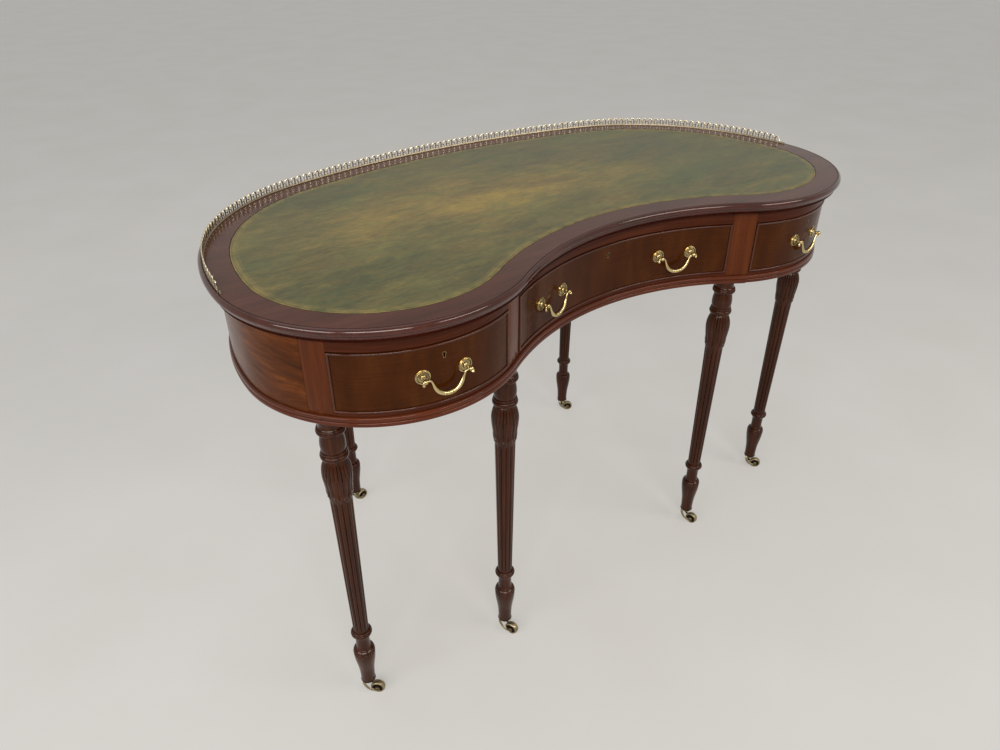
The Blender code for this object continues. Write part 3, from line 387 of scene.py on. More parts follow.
# Frieze veneers: horizontal ribbon with dark, wavy streaks.
panel_wood = mahogany("figured_mahogany_veneer", ("#341806", "#54290b", "#6e3c15"),
                      (110, 14, 1.0), (40, 2.2, 0.5), (0.2, 0.8), swirl=0.03, gloss=0.08, polish=0.1)
# Stiles: straight, orange-brown fibres that stand upright.
stile_wood = mahogany("straight_grained_mahogany", ("#3a1608", "#50240a", "#633112"),
                      (300, 14, 0.6), (60, 1.5, 0.35), swirl=0.004)
# Drawer fronts: quiet brown veneer with soft bands across the grain.
drawer_wood = mahogany("drawer_front_mahogany", ("#271002", "#3c1b04", "#4f2b0c"),
                       (34, 110, 0.6), (80, 2, 0.3), (0.2, 0.8), swirl=0.02, gloss=0.08, polish=0.1)
# Rails and mouldings are plain straight wood. The rails look redder where they catch the light.
plain = dict(figure=(200, 10, 0.6), ribbon=(50, 2, 0.4), swirl=0.004)
rail_wood = mahogany("rail_mahogany", ("#2a0f07", "#401b0c", "#542816"), **plain, gloss=0.08, polish=0.1)
# Beads: the same wood, rubbed brighter and glossier because they stand proud.
bead_wood = mahogany("rubbed_bead_mahogany", ("#351207", "#4e200b", "#652f12"), **plain, polish=0.4)
# Cock beads: thin strips that every hand and duster rubs, so they keep a bright line of light.
cock_wood = mahogany("polished_cock_bead_mahogany", ("#2c0f05", "#3f1907", "#4e230c"), **plain,
                     polish=0.7, film=0.06)
# Legs: dense dark turning wood.
leg_wood = mahogany("turned_mahogany", ("#200c03", "#341606", "#45210c"), (160, 10, 0.8), (40, 2, 0.5),
                    swirl=0.003, rough=(0.15, 0.24), gloss=0.08, polish=0.35, film=0.13)
woods = (top_wood, edge_wood, panel_wood, stile_wood, drawer_wood, rail_wood, bead_wood, cock_wood, leg_wood)
print("woods:", ", ".join(wood.name for wood in woods))

# %% [markdown]
# ## The top and its moulded edge
# The real top is a thick board with a cross-section worked all round: a flat border, a fine quirk, a
# rounded nose, then an ovolo, a small fillet and a cove that tucks under. It could be a flat shape with
# a bevel, but a profile carried along the outline gives every member its own size. The same sweep sinks
# the shallow bed in which the leather lies.

# %% Sweep along the outline
DESK_TOP = 755 * MM
UNDERSIDE = 735 * MM
BORDER = 45.5 * MM
QUIRK = 5.5 * MM
ROUND_STEPS = 640
around = np.linspace(0, LAP, ROUND_STEPS, endpoint=False)[:, None]


def swept(runs, profile):
    """Grid: row by row along the edge, each profile point (inset, height) inside the edge by its inset."""
    return inside_edge(runs, profile[:, 0], profile[:, 1])


edge_mm = [(45.5, 1.8), (45.5, 1.8), (45.5, 0.25), (45.2, 0), (45.2, 0), (44.7, 0), (30, 0), (15, 0),
           (6.9, 0), (6.7, 0), (6.7, 0), (6.4, 0.9), (5.7, 0.9), (5.4, 0.05), (5.4, 0.05), (4.2, 0.15),
           (1.6, 1.6), (0.2, 4.4), (0.0, 6.6), (0.5, 8.6), (1.8, 10.0), (1.8, 10.0), (2.9, 10.3),
           (2.9, 10.3), (2.95, 11.4), (3.6, 13.0), (4.8, 14.0), (4.8, 14.0), (4.8, 15.0), (4.8, 15.0),
           (6.6, 15.5), (8.6, 17.0), (9.6, 18.9), (9.6, 18.9), (10.0, 20), (10.0, 20), (60, 20)]
edge_profile = rounded(edge_mm, 4) * MM
edge_profile[:, 1] = DESK_TOP - edge_profile[:, 1]
top_shell = Shells().add(swept(around, edge_profile).transpose(1, 0, 2))
top = make_piece("moulded_top", top_shell, top_wood, "desk", ["top_board"])
# The burnished faces, painted darker as shade: the nose outside the quirk, and all that lies more than 5 mm
# under the top.
on_edge = (edge_profile[:-1, 0] < QUIRK) | (edge_profile[:-1, 1] < DESK_TOP - 5 * MM)
second_finish(top, edge_wood, np.repeat(on_edge, ROUND_STEPS))
print("edge profile points", len(edge_profile))

# %% [markdown]
# ## Writing leather
# The leather is one skin of hide, dyed green by hand and rubbed, so that golden brown shows through in
# soft streaks, most of all along the worn middle. Along its edge the binder has tooled a gilt band with a
# heated wheel: a line, a row of small dots, a line. A plane with a picture would do, but the band has to
# follow the kidney, so the sheet carries a map whose u runs along the edge and whose v is the distance
# from it, and the nodes draw the band from that.

# %% Leather sheet
LEATHER_EDGE = BORDER + 0.3 * MM
LEATHER_BED = DESK_TOP - 1.5 * MM
leather_mm = [(1.5, 0.0), (0.2, 0.0), (0.05, 0.15), (0.0, 0.5), (0.25, 0.9), (1.0, 1.15), (4, 1.2),
              (8, 1.2), (12, 1.2), (20, 1.2)]
depth, rise = np.array(leather_mm).T * MM
leather_grid = inside_edge(around, LEATHER_EDGE + depth, LEATHER_BED + rise * 1.25)
leather_map = grain_map(around, depth)
leather_shell = Shells().add(leather_grid.transpose(1, 0, 2), leather_map.transpose(1, 0, 2))
print("leather grid", leather_grid.shape)

# %% Tooled green leather
# Grain of the hide is 1.2 mm wide. Gilt is worn away in patches of 17 mm, sixty cells to the metre.
GILT_BAND = 16 * MM
DOT_PITCH = 4.2 * MM
PEBBLE = 1.2 * MM


def tooled_leather():
    """Green dye over tan hide. A streaky tone says how deep the colour is, and a second one how far the dye
    is rubbed off, which falls with the distance from the worn middle. Streaks are noise squeezed across."""
    finish, tree, shader = new_finish("hand_dyed_hide_leather")
    place = add(tree, "TexCoord", out="Object")

    def streaked(value, shift, *layers):
        for length, width, detail, bend, weight in layers:
            squeezed = add(tree, "Mapping", {"Vector": place, "Location": (shift, shift, 0),
                                             "Scale": (1 / (length * MM), 1 / (width * MM), 1.0)})
            noise = {"Vector": squeezed, "Scale": 1.0, "Detail": detail, "Distortion": bend}
            centred = add(tree, "Math", (add(tree, "TexNoise", noise), -0.5), operation="ADD")
            value = add(tree, "Math", (centred, weight, value), operation="MULTIPLY_ADD")
        return value

    worn = add(tree, "Mapping", {"Vector": place, "Location": (0.31, -0.07, 0), "Scale": (2.6, 7.0, 0)})
    away = add(tree, "VectorMath", (worn,), "Value", operation="LENGTH")
    rubbed = add(tree, "MapRange", (away, 0.1, 1.3, 0.77, 0.4))
    rubbed = streaked(rubbed, 3.0, (200, 60, 2.0, 0.6, 0.8), (60, 18, 4.0, 1.0, 0.7), (14, 5, 3.0, 0.8, 0.45))
    tone = add(tree, "MapRange", (away, 0.1, 1.3, 0.62, 0.35))
    tone = streaked(tone, 11.0, (150, 70, 2.0, 0.5, 0.7), (38, 12, 4.0, 1.2, 0.7), (8, 3, 2.0, 0.6, 0.35))
    green = add(tree, "ValToRGB", (tone,), stops=[(0.2, "#4d5336"), (0.5, "#626842"), (0.8, "#767d4a")])
    tan = add(tree, "ValToRGB", (tone,), stops=[(0.2, "#665938"), (0.5, "#857344"), (0.8, "#a68e4f")])
    dye = add(tree, "MixRGB", (add(tree, "MapRange", (rubbed, 0.18, 0.80)), green, tan))
    # The gilt band: its brightness over the distance from the edge, worn away in patches.
    edge_map = add(tree, "UVMap", uv_map="grain")
    inset = add(tree, "SeparateXYZ", (edge_map,), "Y")
    share = add(tree, "Math", (inset, 1 / GILT_BAND), operation="MULTIPLY")
    lines = [(0.0, 0.8), (0.07, 0.8), (0.10, 0.5), (0.42, 0.5), (0.44, 0.7), (0.49, 0.7), (0.53, 0.2),
             (0.70, 0.1), (0.72, 0.35), (0.76, 0.35), (0.80, 0.0)]
    band = add(tree, "ValToRGB", (share,), stops=lines)
    patchy = add(tree, "TexNoise", {"Vector": place, "Scale": 60.0, "Detail": 4.0})
    kept = add(tree, "MapRange", (patchy, 0.35, 0.6, 0.15, 0.85))
    gilt = add(tree, "Math", (band, kept), operation="MULTIPLY")
    colour = add(tree, "MixRGB", (gilt, dye, linear("#b09854")))
    # Dots: cells of a regular Voronoi pattern on the edge map, kept where v lies inside the band.
    shrink = (1 / DOT_PITCH, 1 / DOT_PITCH, 1)
    cells = add(tree, "Mapping", {"Vector": edge_map, "Scale": shrink, "Location": (0, 0.3, 0)})
    regular = {"Vector": cells, "Scale": 1.0, "Randomness": 0.0}
    dot = add(tree, "TexVoronoi", regular, voronoi_dimensions="2D")
    dot = add(tree, "Math", (dot, 0.3), operation="LESS_THAN")
    near = add(tree, "Math", (inset, 7.0 * MM), operation="LESS_THAN")
    dark = add(tree, "Math", (dot, near), operation="MULTIPLY")
    dark = add(tree, "Math", (dark, 0.7), operation="MULTIPLY")
    pebble = add(tree, "TexVoronoi", {"Vector": place, "Scale": 1 / PEBBLE})
    relief = add(tree, "Math", (dark, -1.0, pebble), operation="MULTIPLY_ADD")
    fill(tree, shader, {
        "Base Color": add(tree, "MixRGB", (dark, colour, linear("#3f3d24"))),
        "Roughness": add(tree, "MapRange", (tone, 0.2, 0.8, 0.3, 0.4)),
        "Normal": add(tree, "Bump", {"Height": relief, "Strength": 0.1, "Distance": 0.2 * MM}),
        "IOR": 1.45,
        "Specular IOR Level": 0.2,
    })
    return finish


leather = tooled_leather()
make_piece("writing_leather_sheet", leather_shell, leather, "desk", ["writing_leather"])

# %% [markdown]
# ## Six leg blocks
# Each leg has a square block on top, let into the frieze and cut flush with its curve. It shows as an
# upright stile between the panels and the drawers. The outer and back blocks face outwards, the two
# beside the knee hollow stand square to the desk. A rail ends against a block's flat side, not on a line
# square to the curve, so its end has a different length at every depth. Halving an interval forty times
# finds it for a whole array at once.

# %% Where the legs stand
SETBACK = 21.5 * MM
BLOCK_HALF = 18 * MM
LEG_INSET = 39.5 * MM
SEARCH = 60 * MM
# A leg's place on the edge is given by the degrees that the edge has turned there.
leg_runs = {"outer_right": run_at_turn(math.radians(128.5)), "back_right": run_at_turn(math.radians(13.6)),
            "inner_right": HALF_LAP - HOLLOW * math.radians(32)}
leg_runs.update({name.replace("right", "left"): LAP - run for name, run in leg_runs.items()})


def leg_frame(which):
    """Centre of the leg in plan, direction along its block's face, and outward direction."""
    run = np.array(leg_runs[which])
    normal = edge_at(run)[1]
    centre = inside_edge(run, LEG_INSET, 0.0)
    if which.startswith("inner"):
        return centre, np.array([1.0, 0.0]), np.array([0.0, -1.0])
    return centre, np.array([normal[1], -normal[0]]), normal


def standing(which, angle):
    """Matrix that turns a piece about the upright axis and stands it under a leg's centre."""
    return Matrix.Translation(leg_frame(which)[0].tolist()) @ Matrix.Rotation(angle, 4, "Z")


def run_where(which, offset, inset):
    """Run at which a line at an inset crosses the plane at that offset along the block, by halving the
    stretch of edge that reaches a search length to either side of the leg."""
    centre, along, _ = leg_frame(which)
    offset, inset = np.broadcast_arrays(np.asarray(offset, float), np.asarray(inset, float))
    low = np.full(offset.shape, leg_runs[which] - SEARCH)
    high = low + 2 * SEARCH

    def beyond(run):
        return (inside_edge(run, inset, 0.0)[..., :2] - centre[:2]) @ along - offset

    rising = beyond(high) > beyond(low)
    for _ in range(40):
        middle = (low + high) / 2
        up = (beyond(middle) < 0) == rising
        low, high = np.where(up, middle, low), np.where(up, high, middle)
    return (low + high) / 2


for which in leg_runs:
    print(which, "stands at", np.round(leg_frame(which)[0][:2], 4))

# %% Blocks, flush with the frieze
FRIEZE_TOP = UNDERSIDE - 0.3 * MM
FRIEZE_FOOT = 600 * MM
BLOCK_FOOT = 596 * MM
FOOT_EASE = 0.6 * MM


def block_shell(which):
    """Upright prism: its plan is the frieze curve across the block, closed square behind.

    The two front corners are eased by 0.4 mm, and the lowest ring of points is pulled in to ease the foot.
    """
    centre, along, outward = leg_frame(which)
    across = np.linspace(-BLOCK_HALF, BLOCK_HALF, 15)
    reach = (inside_edge(run_where(which, across, SETBACK), SETBACK, 0.0)[:, :2] - centre[:2]) @ outward
    reach[[0, -1]] -= 0.4 * MM
    across = np.append(across, [BLOCK_HALF, -BLOCK_HALF])
    reach = np.append(reach, [-BLOCK_HALF, -BLOCK_HALF])
    plan = centre[:2] + across[:, None] * along + reach[:, None] * outward
    heights = np.array([BLOCK_FOOT, BLOCK_FOOT + FOOT_EASE, 660 * MM, FRIEZE_TOP])[:, None]
    shrink = np.array([FOOT_EASE, 0, 0, 0])[:, None, None]
    rows = plan + unit(plan.mean(0) - plan) * shrink
    grid = np.concatenate([rows, np.broadcast_to(heights[..., None], (*rows.shape[:2], 1))], -1)
    return Shells().add(grid, grain_map(heights + leg_runs[which], across))


for which in leg_runs:
    make_piece("block_" + which, block_shell(which), stile_wood, "desk", ["leg_" + which])
print("blocks", len(leg_runs))

# %% [markdown]
# ## Panels, rails and mouldings
# The frieze closes the space between the blocks: curved veneered panels round both ends and the back, a
# rail above and below the drawers, and a double bead planted along the foot. All are profiles carried
# along the outline. They could be bent from straight bars with a curve modifier, but the sweep keeps
# their ends exactly on the blocks.

# %% Strips between two blocks
SIDE_GAP = 0.3 * MM
STRIP_STEP = 5 * MM
BOARD = 20 * MM
EASE = 0.35 * MM
DRAWERS = {"right": ("outer_right", "inner_right"), "centre": ("inner_right", "inner_left"),
           "left": ("inner_left", "outer_left")}


def between(first, second, insets, gap=SIDE_GAP):
    """Runs from one block's side to the next block's, in even steps, a column for each inset.

    A point a little further along the edge tells which of the block's two sides looks that way.
    """
    def side_of(which, toward):
        centre, along, _ = leg_frame(which)
        ahead = inside_edge(np.array(leg_runs[which] + toward * 30 * MM), LEG_INSET, 0.0)[:2] - centre[:2]
        return run_where(which, np.sign(ahead @ along) * (BLOCK_HALF + gap), insets)

    start, end = side_of(first, 1), side_of(second, -1)
    end = end + LAP * (end < start)
    count = int((end - start).mean() / STRIP_STEP) + 2
    return start + (end - start) * np.linspace(0, 1, count)[:, None]


def box_profile(inner, bottom, top):
    """Rectangle of (inset, height) from the frieze's face to an inner inset, with eased front corners."""
    eased = SETBACK + EASE
    return np.array([(SETBACK, bottom + EASE), (SETBACK, (bottom + top) / 2), (SETBACK, top - EASE),
                     (eased, top), (inner, top), (inner, bottom), (eased, bottom)])


def add_strip(shells, first, second, profile):
    """Adds a closed bar between two blocks. Its grain map has u along the run and v the height."""
    runs = between(first, second, profile[:, 0])
    return shells.add(swept(runs, profile), grain_map(runs, profile[:, 1]))


# %% Frieze panels
panels = {"back_panel": ("back_left", "back_right"), "end_panel_right": ("back_right", "outer_right"),
          "end_panel_left": ("outer_left", "back_left")}
for name, (first, second) in panels.items():
    shell = add_strip(Shells(), first, second, box_profile(SETBACK + BOARD, FRIEZE_FOOT, FRIEZE_TOP))
    make_piece(name + "_veneered", shell, panel_wood, "desk", [name])
    print(name, "points", shell.count)

# %% Rails
RAIL_BACK = SETBACK + 60 * MM
OPENING_TOP = 712 * MM
OPENING_FOOT = 618 * MM
rails = {"top_rail": (OPENING_TOP, FRIEZE_TOP), "bottom_rail": (FRIEZE_FOOT, OPENING_FOOT)}
for name, (bottom, top) in rails.items():
    rail = Shells()
    for first, second in DRAWERS.values():
        add_strip(rail, first, second, box_profile(RAIL_BACK, bottom, top))
    make_piece(name + "_curved", rail, rail_wood, "desk", [name])
    print(name, "points", rail.count)

# %% Double bead along the foot of the frieze
# Two lengths meet with this much left open on each side of the joint.
JOINT = 0.15 * MM
bead_mm = [(21.2, 1.0), (21.2, 1.0), (18.2, 1.0), (18.2, 1.0), (17.2, 1.5), (16.9, 3.6), (17.2, 6.2),
           (18.3, 7.4), (18.9, 7.6), (18.9, 7.6), (18.5, 8.0), (17.7, 8.9), (17.5, 11.0), (17.9, 13.4),
           (19.2, 14.6), (19.2, 14.6), (19.9, 14.9), (20.2, 15.0), (20.2, 15.0), (21.2, 15.0)]
bead = rounded(bead_mm, 3) * MM
bead[:, 1] += FRIEZE_FOOT - 2 * MM
for name, start, end in (("moulding_front", leg_runs["outer_right"], leg_runs["outer_left"]),
                         ("moulding_back", leg_runs["outer_left"] - LAP, leg_runs["outer_right"])):
    runs = np.linspace(start + JOINT, end - JOINT, int((end - start) / STRIP_STEP))[:, None]
    shell = Shells().add(swept(runs, bead), grain_map(runs, bead[:, 1] + bead[:, 0]))
    make_piece(name + "_bead", shell, bead_wood, "desk", [name])
    print(name, "points", shell.count)

# %% [markdown]
# ## Drawer fronts
# Two fronts swell with the lobes and one is hollow. Round the edge of each stands a cock bead, a thin
# half-round strip that shields the veneer. The face is worked out as a height field: at every point the
# distance to the nearest edge decides how far the surface stands out, so the bead mitres itself at the
# corners. Lines of the grid crowd together where the bead is, and spread out on the plain veneer.

# %% Height field with a cock bead
BEAD = 3.6 * MM
GROOVE_END = 4.32 * MM
FRONT_GAP = 1.0 * MM
# Distances of the grid's lines from the edge of the front, close together where the bead curves.
bead_lines = np.array([0, 0.25, 0.65, 1.1, 1.8, 2.5, 2.95, 3.35, 3.59, 3.62, 4.3, 4.35]) * MM


def crowded(length, spacing):
    """Places from 0 to a length, dense at both ends where the bead lies."""
    middle = np.linspace(bead_lines[-1], length - bead_lines[-1], max(3, int(length / spacing)))[1:-1]
    return np.concatenate([bead_lines, middle, length - bead_lines[::-1]])


def stands_out(distance):
    """Half-round bead, then a fine groove beside it: 2.2 mm times an ellipse's ordinate that starts from a
    quarter, then minus half a millimetre, then nothing."""
    t = np.clip(distance / BEAD, 0, 1)
    ridge = np.sqrt(np.clip(1 - (2 * t - 1) ** 2, 0, 1))
    groove = (distance > BEAD) & (distance < GROOVE_END)
    return np.where(distance < BEAD, 2.2 * MM * (0.25 + 0.75 * ridge), -0.5 * MM * groove)


def front_shell(first, second):
    """The faced board: an outer grid, the same grid a board's thickness further in, and four sides between.

    Also tells which of its faces are bead: those whose four corners lie within the bead's width of an edge.
    """
    low, high = OPENING_FOOT + FRONT_GAP, OPENING_TOP - FRONT_GAP
    z = low + crowded(high - low, 8 * MM)
    outer_ends, inner_ends = (between(first, second, np.array([inset]), FRONT_GAP)[[0, -1], 0]
                              for inset in (SETBACK, SETBACK + BOARD))
    length = np.ptp(outer_ends)
    share = crowded(length, 5 * MM) / length

    def face_at(ends, inset):
        return inside_edge((ends[0] + np.ptp(ends) * share)[:, None], inset, z)

    nearest = np.minimum(np.minimum(share, 1 - share)[:, None] * length, np.minimum(z - low, high - z))
    outer = face_at(outer_ends, SETBACK - stands_out(nearest))
    points = np.stack([outer, face_at(inner_ends, SETBACK + BOARD)])
    rows, columns = nearest.shape
    back = rows * columns
    index = np.arange(back).reshape(rows, columns)
    rim = np.concatenate([index[:, 0], index[-1, 1:], index[-2::-1, -1], index[0, -2:0:-1]])
    after = np.roll(rim, -1)
    faces = grid_faces(rows, columns)
    faces += (np.array(faces)[:, ::-1] + back).tolist()
    faces += np.stack([after, rim, rim + back, after + back], -1).tolist()
    grain = grain_map((share * length)[:, None], z).reshape(-1, 2)
    near = nearest < BEAD
    on_bead = near[:-1, :-1] & near[1:, :-1] & near[:-1, 1:] & near[1:, 1:]
    return Shells().take(points.reshape(-1, 3), faces, np.tile(grain, (2, 1))), on_bead.ravel()


# %% Keyhole cutter and its brass thread
KEYHOLE_Z = 693.5 * MM


def facing(run):
    """Matrix that puts the XY plane on the frieze's face at a keyhole, with Y upright and Z outwards."""
    place = inside_edge(np.array(run), SETBACK, KEYHOLE_Z)
    out = Vector((*edge_at(np.array(run))[1], 0.0))
    up = Vector((0, 0, 1))
    turn = Matrix((up.cross(out), up, out)).transposed().to_4x4()
    return Matrix.Translation(place.tolist()) @ turn


def keyhole_line(grow, height):
    """Round head of 2.2 mm radius over a slot 2.5 mm wide, as one closed line, grown by an amount."""
    angle = np.linspace(-0.30 * math.pi, 1.30 * math.pi, 16)
    radius, half = 2.2 * MM + grow, 1.25 * MM + grow
    head = np.stack([radius * np.cos(angle), radius * np.sin(angle)], -1)
    line = np.concatenate([head, [(-half, -6 * MM - grow), (half, -6 * MM - grow)]])
    return np.concatenate([line, np.full((len(line), 1), height)], 1)


def keyhole_cut(piece, run):
    """Cuts the hole 9 mm deep, with a Boolean that is applied at once."""
    grid = np.stack([keyhole_line(0.0, depth * MM) for depth in (-9, 6)])
    shell = Shells().add(placed(grid, facing(run)))
    cutter = new_object("keyhole_cutter", new_mesh("keyhole_cutter", shell.points[0], shell.faces))
    cut = piece.modifiers.new("keyhole", "BOOLEAN")
    cut.object, cut.operation, cut.solver = cutter, "DIFFERENCE", "EXACT"
    bpy.context.view_layer.update()
    finished = bpy.data.meshes.new_from_object(piece.evaluated_get(bpy.context.evaluated_depsgraph_get()))
    piece.modifiers.remove(cut)
    piece.data = finished
    bpy.data.objects.remove(cutter)
    piece.data.set_sharp_from_angle(angle=math.radians(SHARP))


def thread_shell(run):
    """Brass thread round the keyhole: a half-round bar 0.6 mm wide on the outline, 0.2 mm proud."""
    section = [(0.0, -0.6), (0.0, 0.1), (0.3, 0.2), (0.6, 0.1), (0.6, -0.6)]
    rows = [keyhole_line(grow * MM, height * MM) for grow, height in section]
    grid = placed(np.stack(rows), facing(run))
    return Shells().add(grid, deposit_and_shade_map(grid, 0.35), ring=True)


# %% [markdown]
# ## Brass
# Handles, gallery and castors are cast yellow brass, once lacquered. Where the lacquer has worn off the metal
# is browner and duller, and where no duster reaches a dark deposit stays. A picture of old brass would look
# printed on, so noise lays the clouds, and each piece's own map says where the dark colour goes. On the
# gallery and the castors much of that colour is painted shade, laid where shadow falls.

# %% Brass, lacquered and worn
def deposit_and_shade_map(grid, amount):
    """Grain map of a brass piece: u is the height, v says how far the place takes the dark colour, 0 to 1:
    deposit, and on the gallery and castors painted shade.
    """
    return grain_map(grid[..., 2], amount)


def brass(name, polished, tarnish, deposit_and_shade_colour, rough, dirt):
    """Metal, browner and duller in clouds of 9 mm, with the dark colour where the map's v asks for it:
    deposit, and painted shade where the map lays shadow. Noise as fine as a millimetre stands for the
    scratches, which are finer still."""
    finish, tree, shader = new_finish(name)
    place = add(tree, "TexCoord", out="Object")
    cloud = add(tree, "TexNoise", {"Vector": place, "Scale": 110.0, "Detail": 3.0, "Roughness": 0.5})
    amount = add(tree, "MapRange", (cloud, 0.42, 0.68, 0.0, dirt))
    hollow = add(tree, "SeparateXYZ", (add(tree, "UVMap", uv_map="grain"),), "Y")
    metal = add(tree, "MixRGB", (amount, linear(polished), linear(tarnish)))
    both = add(tree, "Math", (hollow, amount), operation="MAXIMUM")
    scratches = add(tree, "TexNoise", {"Vector": place, "Scale": 900.0, "Detail": 2.0})
    fill(tree, shader, {
        "Base Color": add(tree, "MixRGB", (hollow, metal, linear(deposit_and_shade_colour))),
        "Roughness": add(tree, "MapRange", {"Value": both, "To Min": rough[0], "To Max": rough[1]}),
        "Normal": add(tree, "Bump", {"Height": scratches, "Strength": 0.05, "Distance": 0.1 * MM}),
        "Metallic": 1.0,
    })
    return finish


# Handles: golden cast brass under lacquer, brown only in patches.
handle_brass = brass("lacquered_cast_brass", "#d3be8a", "#8f7848", "#3d2f1a", (0.15, 0.5), 0.4)
# Gallery: the palest brass, which dusting keeps bright.
gallery_brass = brass("polished_gallery_brass", "#e8dabb", "#a58e68", "#3b2c20", (0.28, 0.5), 0.35)
# Castors: bare brass near the floor, dull and grey.
castor_brass = brass("worn_castor_brass", "#a09274", "#6c5f49", "#33291d", (0.34, 0.62), 0.7)

# %% Hang the three drawer fronts
# A side drawer has its handle and its lock in one line. The centre drawer has two handles beside its lock.
side_handle = run_at_turn(math.radians(174.0))
centre_handle = HALF_LAP - HOLLOW * math.radians(17.6)
handles = {"right": side_handle, "centre_right": centre_handle, "centre_left": LAP - centre_handle,
           "left": LAP - side_handle}
for side, (first, second) in DRAWERS.items():
    body = side + "_drawer"
    lock = handles.get(side, HALF_LAP)
    shell, on_bead = front_shell(first, second)
    front = make_piece("front_" + side, shell, drawer_wood, body, ["drawer_front_" + side])
    second_finish(front, cock_wood, on_bead)
    keyhole_cut(front, lock)
    make_piece("keyhole_thread_" + side, thread_shell(lock), handle_brass, body)
    print("drawer front", side, "faces", len(front.data.polygons))

# %% [markdown]
# ## Turned and reeded legs
# A leg is one turning: collar, barrel and astragal, a carved bulb, a reeded shaft that tapers, an anklet
# and a vase foot. The outline of the turning is a list of radii by height, smoothed between corners. The
# carving is then a rule for the radius at each angle: reeds are arches side by side with sharp valleys,
# and the cap of the bulb has twenty-four short rays. A displacement texture could do this, but real
# valleys give real shadows from every side.

# %% Profile of the turning, from the toe up
leg_mm = [(10.0, 35), (10.0, 35), (11.4, 35.2), (12.0, 36.6), (12.1, 38.5), (12.2, 46), (12.5, 54),
          (13.5, 67), (15.9, 83), (17.6, 95), (18.1, 103), (18.2, 106.5), (17.9, 108.2), (17.9, 108.2),
          (17.4, 108.9), (18.3, 110.6), (18.0, 112.2), (17.3, 112.8), (17.3, 112.8), (17.5, 114.5),
          (16.9, 116.4), (14.8, 118.6), (13.4, 119.6), (13.4, 119.6), (12.4, 121), (11.8, 127), (11.7, 136),
          (12.1, 145), (13.0, 150), (14.6, 151.4), (14.6, 151.4), (15.6, 152.6), (17.2, 155), (17.7, 157.4),
          (17.2, 159.6), (16.2, 160.6), (16.2, 160.6), (15.6, 162.4), (14.2, 163.6), (13.0, 164),
          (13.0, 164), (12.9, 166), (12.9, 166), (13.6, 215), (14.4, 270), (15.2, 330), (16.1, 395),
          (17.0, 446), (17.5, 456), (19.1, 470), (20.9, 484), (21.9, 493), (22.3, 500), (22.1, 506),
          (21.1, 513), (19.2, 519.5), (17.0, 525), (16.0, 527), (16.0, 527), (16.4, 528.2), (18.6, 529),
          (20.2, 531.5), (20.6, 534), (20.0, 536.6), (18.4, 538.4), (18.4, 538.4), (18.8, 539.6),
          (18.6, 541.2), (17.2, 542.2), (17.2, 542.2), (18.1, 547), (18.5, 553), (18.0, 560), (16.9, 566.5),
          (16.2, 570), (16.2, 570), (17.4, 571), (17.4, 571), (17.6, 572.2), (19.2, 573.4), (20.6, 575.2),
          (21.0, 577.2), (20.6, 579.0), (19.8, 579.6), (19.8, 579.6), (20.2, 580.8), (19.6, 582.4),
          (18.2, 583.4), (18.2, 583.4), (17.2, 585), (16.8, 588), (17.0, 591), (17.5, 594), (17.6, 597.5)]
lathe_line = rounded(leg_mm, 4) * MM
print("lathe profile points", len(lathe_line))

# %% Carving: radius by angle and height
# Twelve reeds, eight leaves of two hollows each, with a pearl between two leaf tips, and short rays above.
REEDS, LEAVES, RAYS = 12, 8, 24
ARCH = 0.93


def fade(height, start, end):
    """0 at start, 1 at end, smooth between: t squared times (3 minus 2 t)."""
    t = np.clip((height - start) / (end - start), 0, 1)
    return t * t * (3 - 2 * t)


def arches(angle, count):
    """Depth from 0 on top of a reed to 1 in the valley: one minus the height of a circle's arc."""
    across = np.mod(count * angle / (2 * math.pi), 1.0) * 2 - 1
    return (1 - np.sqrt(1 - ARCH * across**2)) / (1 - math.sqrt(1 - ARCH))


def carved(radius, height, angle):
    """Turned radius less the valleys of shaft, leaves and rays, plus the leaves' rims and the pearls.

    Each depth and height is in millimetres, and each valley fades in and out over a short height.
    """
    z = height / MM
    shaft = 2.3 * fade(z, 166, 174) * (1 - fade(z, 449, 457))
    leaf_tip = 457 + 9 * np.abs(np.cos(LEAVES / 2 * angle))
    leaves = 1.5 * fade(z, leaf_tip, leaf_tip + 8) * (1 - fade(z, 496, 505))
    rim = 0.9 * fade(z, leaf_tip - 1.0, leaf_tip + 1.0) * (1 - fade(z, leaf_tip + 4, leaf_tip + 14))
    rays = 1.7 * fade(z, 494, 501) * (1 - fade(z, 521, 526))
    valleys = shaft * arches(angle, REEDS) + leaves * arches(angle, 2 * LEAVES)
    valleys = valleys + rays * arches(angle, RAYS) - rim
    apart = (np.mod(angle * LEAVES / (2 * math.pi) + 0.5, 1.0) - 0.5) * 2 * math.pi / LEAVES * radius / MM
    pearl = np.sqrt(np.clip(1 - (apart**2 + (z - 462.0) ** 2) / 1.7**2, 0, 1)) * 1.3
    return radius - valleys * MM + pearl * MM


def denser(line, shortest):
    """Divides long stretches into equal steps of at least that length, so that the carving has rows."""
    kept = [line[:1]]
    for a, b in zip(line[:-1], line[1:]):
        steps = max(1, int(np.linalg.norm(b - a) / shortest))
        kept.append(a + (b - a) * np.linspace(0, 1, steps + 1)[1:, None])
    return np.vstack(kept)


# Rows stand less than 8 mm apart, and less than 2.4 mm where the leaf tips and pearls are. The grain map's v
# is the way round a leg of 16 mm radius, and each leg starts its map elsewhere, so that no two look the same.
lathe_rows = denser(lathe_line, 4 * MM)
leaf_rows = np.flatnonzero((lathe_rows[:, 1] > 448 * MM) & (lathe_rows[:, 1] < 480 * MM))
lathe_rows = np.vstack([lathe_rows[:leaf_rows[0]], denser(lathe_rows[leaf_rows], 1.2 * MM),
                        lathe_rows[leaf_rows[-1] + 1:]])
angle = round_angles(192)
turning = lathe(carved(lathe_rows[:, :1], lathe_rows[:, 1:], angle), lathe_rows[:, 1:], angle)
turning_grain = grain_map(lathe_rows[:, 1:], angle * 16 * MM)
print("leg grid", turning.shape)

